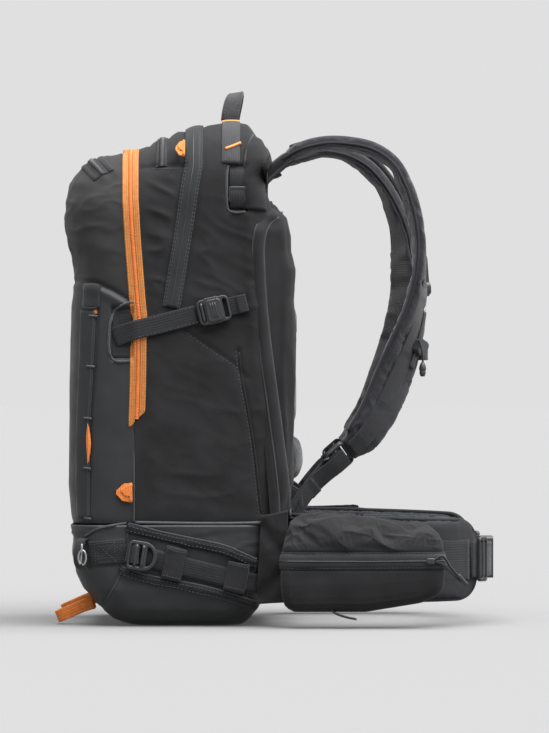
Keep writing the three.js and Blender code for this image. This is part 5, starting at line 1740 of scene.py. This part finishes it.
HIP_WEBBING = 38  # its width
HIP_BACKING = WING_THICKNESS / 2 + 0.6  # from the wing's middle to the sewn-on patch
GLIDE_AT = 6  # the point of the webbing's line that the tri-glide sits on
BELT_INSIDE = (40, 200, 70)  # a place inside the belt's curve


def build_hip_webbing():
    """Hip-belt webbing with its tri-glide, doubled back on itself, up to the buckle."""
    line = smooth(WING_POINTS, 3.0)
    end, along = line[-1], unit(line[-1] - line[-2])
    path = smooth([end + along * 1 + [5.5, 6.5, 0], (104, 307.5, BELT_Z), (90, 313, BELT_Z),
                   (74, 316, BELT_Z), (50, 316, BELT_Z)], 2.5)
    web = ribbon("hip_web", path, -UP, HIP_WEBBING, 2.4, BLACK_WEBBING, sides=22)
    settle_pair(web, "belt_end_{side}", "hip_webbing_{side}", slot="webbing_black")
    _, tangent, out = axes_along(path, -UP)
    outward = out * np.sign((out * (path - BELT_INSIDE)).sum())
    doubled = path[4:-6] + outward[4:-6] * 3.2
    settle_pair(ribbon("hip_web_tail", doubled, -UP, HIP_WEBBING - 1, 1.9, BLACK_WEBBING, sides=22),
                "belt_end_{side}", slot="webbing_black")
    rows = [(doubled + [0, 0, shift] + outward[4:-6] * 1.15, outward[4:-6]) for shift in (-15.5, 15.5)]
    settle_pair(stitches("hip_web_stitches", rows, GREY_THREAD, 3.4, 2.4, 0.6), "belt_end_{side}",
                slot="webbing_black")
    glide = moulding("tri_glide",
                     [rounded(16, 47, 3.5), rounded(3.6, 40, 1.5, -3.8), rounded(3.6, 40, 1.5, 3.8)],
                     4.6, 1.2, BLACK_PLASTIC, path[GLIDE_AT] + outward[GLIDE_AT] * 3.0,
                     tangent[GLIDE_AT], UP)
    settle_pair(glide, "belt_end_{side}", slot="plastic_black")
    patch_line = np.vstack([line[-16:-1], end])
    out = axes_along(patch_line, -UP)[2]
    outward = out * np.sign((out * (patch_line - BELT_INSIDE)).sum())
    patch = ribbon("hip_anchor_patch", patch_line + outward * HIP_BACKING, -UP, HIP_WEBBING + 4, 2.0,
                   BLACK_WEBBING, sides=22)
    settle_pair(patch, "belt_{side}", slot="webbing_black")


def build_belt_gusset():
    """Fabric triangle from the pack's rear corner to the hip wing."""
    rows = []
    for t in np.linspace(0, 1, 26):
        upper = np.array([152.4, 75, 117]) * (1 - t) + np.array([153.6, 103, 123]) * t
        lower = np.array([141, 70, 24]) * (1 - t) + np.array([150.5, 104, 26]) * t
        rows.append([upper * (1 - s) + lower * s + [3.0 * math.sin(math.pi * s) * math.sin(math.pi * t), 0, 0]
                     for s in np.linspace(0, 1, 48)])
    points = np.array(rows)
    fold = np.minimum(*(crease(distance_to_line(points[..., 1], points[..., 2], line), 7) * -1
                        for line in ([(76, 104), (104, 70)], [(74, 34), (104, 62)])))
    points[..., 0] += fbm(points, (40, 18, 26), 41) * 1.6 + 3.2 * fold
    skin = grid("belt_gusset", points, PACK_FABRIC)
    thicken(skin, 2.0)
    settle_pair(skin, ("pack", "belt_{side}"), span=((148, 76, 80), (150, 99, 80)), slot="back_foam")
    tail = smooth([(170, 146, 22), (171, 152, 16), (171, 164, 11.5), (170, 174, 9.5)], 2)
    settle_pair(ribbon("belt_strap_tail", tail, RIGHT, 19, 1.8, BLACK_WEBBING), "belt_{side}",
                slot="webbing_black")


# ---- back ----
BACK_PADS = [119, 152, 200, 290, 348, 396, 441]  # edges of the back's pads, from the bottom
BACK_CRESTS = [110, 119, 111, 112, 108, 101.5]


def pad_crest(z):
    z = np.asarray(z, float)
    edges = np.array(BACK_PADS, float)
    index = np.clip(np.searchsorted(edges, z, side="right") - 1, 0, len(BACK_CRESTS) - 1)
    low, high = edges[index], edges[index + 1]
    swell = np.clip(1 - np.abs(2 * (z - low) / (high - low) - 1) ** 3, 0, 1) ** 0.5
    valley = np.interp(z, (119, 200, 441), (101, 103, 94))
    return valley + (np.array(BACK_CRESTS)[index] - valley) * swell


def cushion(name, x_half, z_low, z_high, crest, material, channel=0.0, corner=26.0):
    """A pad on the back: crowned towards the wearer, flat where it rests on the pack."""
    zs = np.linspace(z_low, z_high, int((z_high - z_low) / 2.4))
    across = np.linspace(-1, 1, 96)
    from_end = np.minimum(zs - z_low, z_high - zs)
    rounding = corner - np.sqrt(np.maximum(corner**2 - np.maximum(corner - from_end, 0) ** 2, 0))
    half = x_half(zs) - rounding
    x = half[:, None] * across
    edge = np.clip(1 - np.abs(across) ** 7, 0, 1) ** 0.5 * np.clip(from_end / 7, 0.04, 1)[:, None] ** 0.5
    y = REAR_Y + 1.6 + (crest(zs)[:, None] - REAR_Y - 3.2) * edge
    if channel:
        y -= (y - REAR_Y - 8) * np.exp(-(x / channel) ** 4)
    upper = np.stack([x, y, zs[:, None] + 0 * x], -1)
    share = np.linspace(1, -1, 26)[1:-1]
    xb = half[:, None] * share
    lower = np.stack([xb, np.full_like(xb, REAR_Y + 0.9), zs[:, None] + 0 * xb], -1)
    points = np.concatenate([upper, lower], 1)
    obj = grid(name, points, material, around=True, capped=True)
    seams = np.abs(upper[..., 1] - REAR_Y) < 4
    pinned = np.zeros(points.shape[:2])
    pinned[:, :96] = seams
    pinned[:, 96:] = 1
    if channel:
        pinned[:, :96] = np.maximum(pinned[:, :96], np.exp(-(x / channel) ** 2))
    return obj, pinned, zs


def build_back():
    half = lambda z: np.interp(z, (119, 132, 300, 400, 441), (100, 112, 112, 106, 92))
    obj, pinned, zs = cushion("back_panel_pads", half, 119.5, 441, pad_crest, BACK_MESH, channel=13)
    for edge in BACK_PADS[1:-1]:
        pinned[:, :96] = np.maximum(pinned[:, :96], np.exp(-((zs - edge) / 3.0) ** 2)[:, None])
    puff(obj, pinned.ravel(), 3.0, growth=0.03, cap=3.0)
    settle(obj, "pack", "back_panel", slot="back_foam", fill=0.8)
    lumbar_half = lambda z: np.interp(z, (25, 38, 96, 117), (98, 107, 107, 96))
    crest = lambda z: np.interp(z, (25, 40, 60, 96, 117), (106, 116, 119, 118, 107))
    obj, pinned, zs = cushion("lumbar_cover", lumbar_half, 24, 118, crest, BACK_MESH, channel=10, corner=22)
    puff(obj, pinned.ravel(), 3.0, growth=0.03, cap=2.5)
    settle(obj, "pack", "lumbar_pad", slot="back_foam", fill=0.85)
    zs = np.linspace(122, 438, 100)
    for sign, name in ((1, "right"), (-1, "left")):
        edge = np.stack([sign * (half(zs) + 0.5), np.full(100, REAR_Y + 3.0), zs], -1)
        settle(tube(f"back_piping_{name}", edge, 2.0, STRAP_EDGE, side=RIGHT, sides=10), "pack",
               slot="back_foam")


# The rear silhouette: height and how far back the soft side walls reach.
BACK_OUTLINE = [(112, 101), (124, 104), (157, 108), (193, 109), (221, 110), (303, 111.6),
                (317, 111), (344, 108.5),
                (376, 109), (395, 104), (411, 103), (430, 100.5), (440, 93), (446, 85), (452, 78)]


def build_back_gusset():
    """Soft side wall between the pack's side panel and the back pads, with lengthwise folds."""
    zs = np.concatenate([np.linspace(113, 425, 136), np.linspace(427, 451, 16)])
    start = np.interp(zs, [z for _, z in EDGE_ROLL[::-1]], [y for y, _ in EDGE_ROLL[::-1]])
    start = start + 6 * ease(zs, 425, 452)
    reach = np.interp(zs, *zip(*BACK_OUTLINE))
    swell = ease(zs, 113, 165)
    narrow = 1 - 0.16 * ease(zs, 415, 451)
    t = np.linspace(0, 1, 44)
    lines = []
    for z, y0, y1, s, n in zip(zs, start, reach, swell, narrow):
        knots = np.array([(150.8, y0 - 4), (152.4 * n, y0 + 3), (149 * n, y0 + 0.45 * (y1 - 8 - y0) + 2),
                          (143 * n, y1 - 8 + 3 * s), (133 * n, y1 - 2.5), (118 * n, y1 - 1),
                          (104 * n, y1 - 7)])
        curve = smooth(np.column_stack([knots, np.full(len(knots), z)]), 1.0)
        place = np.linspace(0, 1, len(curve))
        lines.append(np.stack([np.interp(t, place, axis) for axis in curve.T], -1))
    p = np.stack(lines)
    normals = grid_normals(p)
    folds = (1 - np.abs(fbm(p, (26, 20, 190), 51, 2))) ** 3 * 3.6 + fbm(p, (30, 26, 80), 52, 2) * 1.4
    inside = ease(t, 0.05, 0.2) * (1 - ease(t, 0.85, 0.97))
    points = p + normals * (folds * inside[None, :])[..., None]
    skin = grid("back_gusset", points, PACK_FABRIC)
    orient(skin)
    wall = thicken(skin, 1.4)
    tree = drape_tree(wall)
    settle_pair(wall, "pack", slot="back_foam")
    line = side_line([(90, 436), (79, 426), (73, 410), (74, 350), (80, 290), (87, 238), (94, 185),
                      (99, 140), (100, 117)])
    band = draped_band("back_gusset_roll", tree, line, 11, 1.4, PACK_FABRIC, cols=9, crown=1.8, lift=0.3)
    settle_pair(band, "pack", slot="back_foam")
    for sign, name in ((1, "rear"), (-1, "front")):
        places, facing = draped_line(tree, offset_across(line, INWARD, 5.8 * sign), INWARD, 0.5)
        settle_pair(tube(f"back_gusset_seam_{name}", places, 0.8, PIPING, side=facing, sides=8), "pack",
                    slot="back_foam")


set_stage()
finish_cad_nodes()
SKINS = build_body()
build_front_zip(SKINS)
build_rear_zip(SKINS)
build_top_zips(SKINS)
build_goggle_zip(SKINS)
build_pulls()
build_window(SKINS)
build_compression_strap()
build_side_seams(SKINS)
build_daisy_chain(SKINS)
build_boot_band(SKINS)
build_front_block(SKINS)
build_axe_loops()
build_haul_loop(SKINS)
build_yoke(SKINS)
build_harness()
build_hip_wings()
build_hip_pockets()
build_hip_webbing()
build_belt_gusset()
build_back()
build_back_gusset()
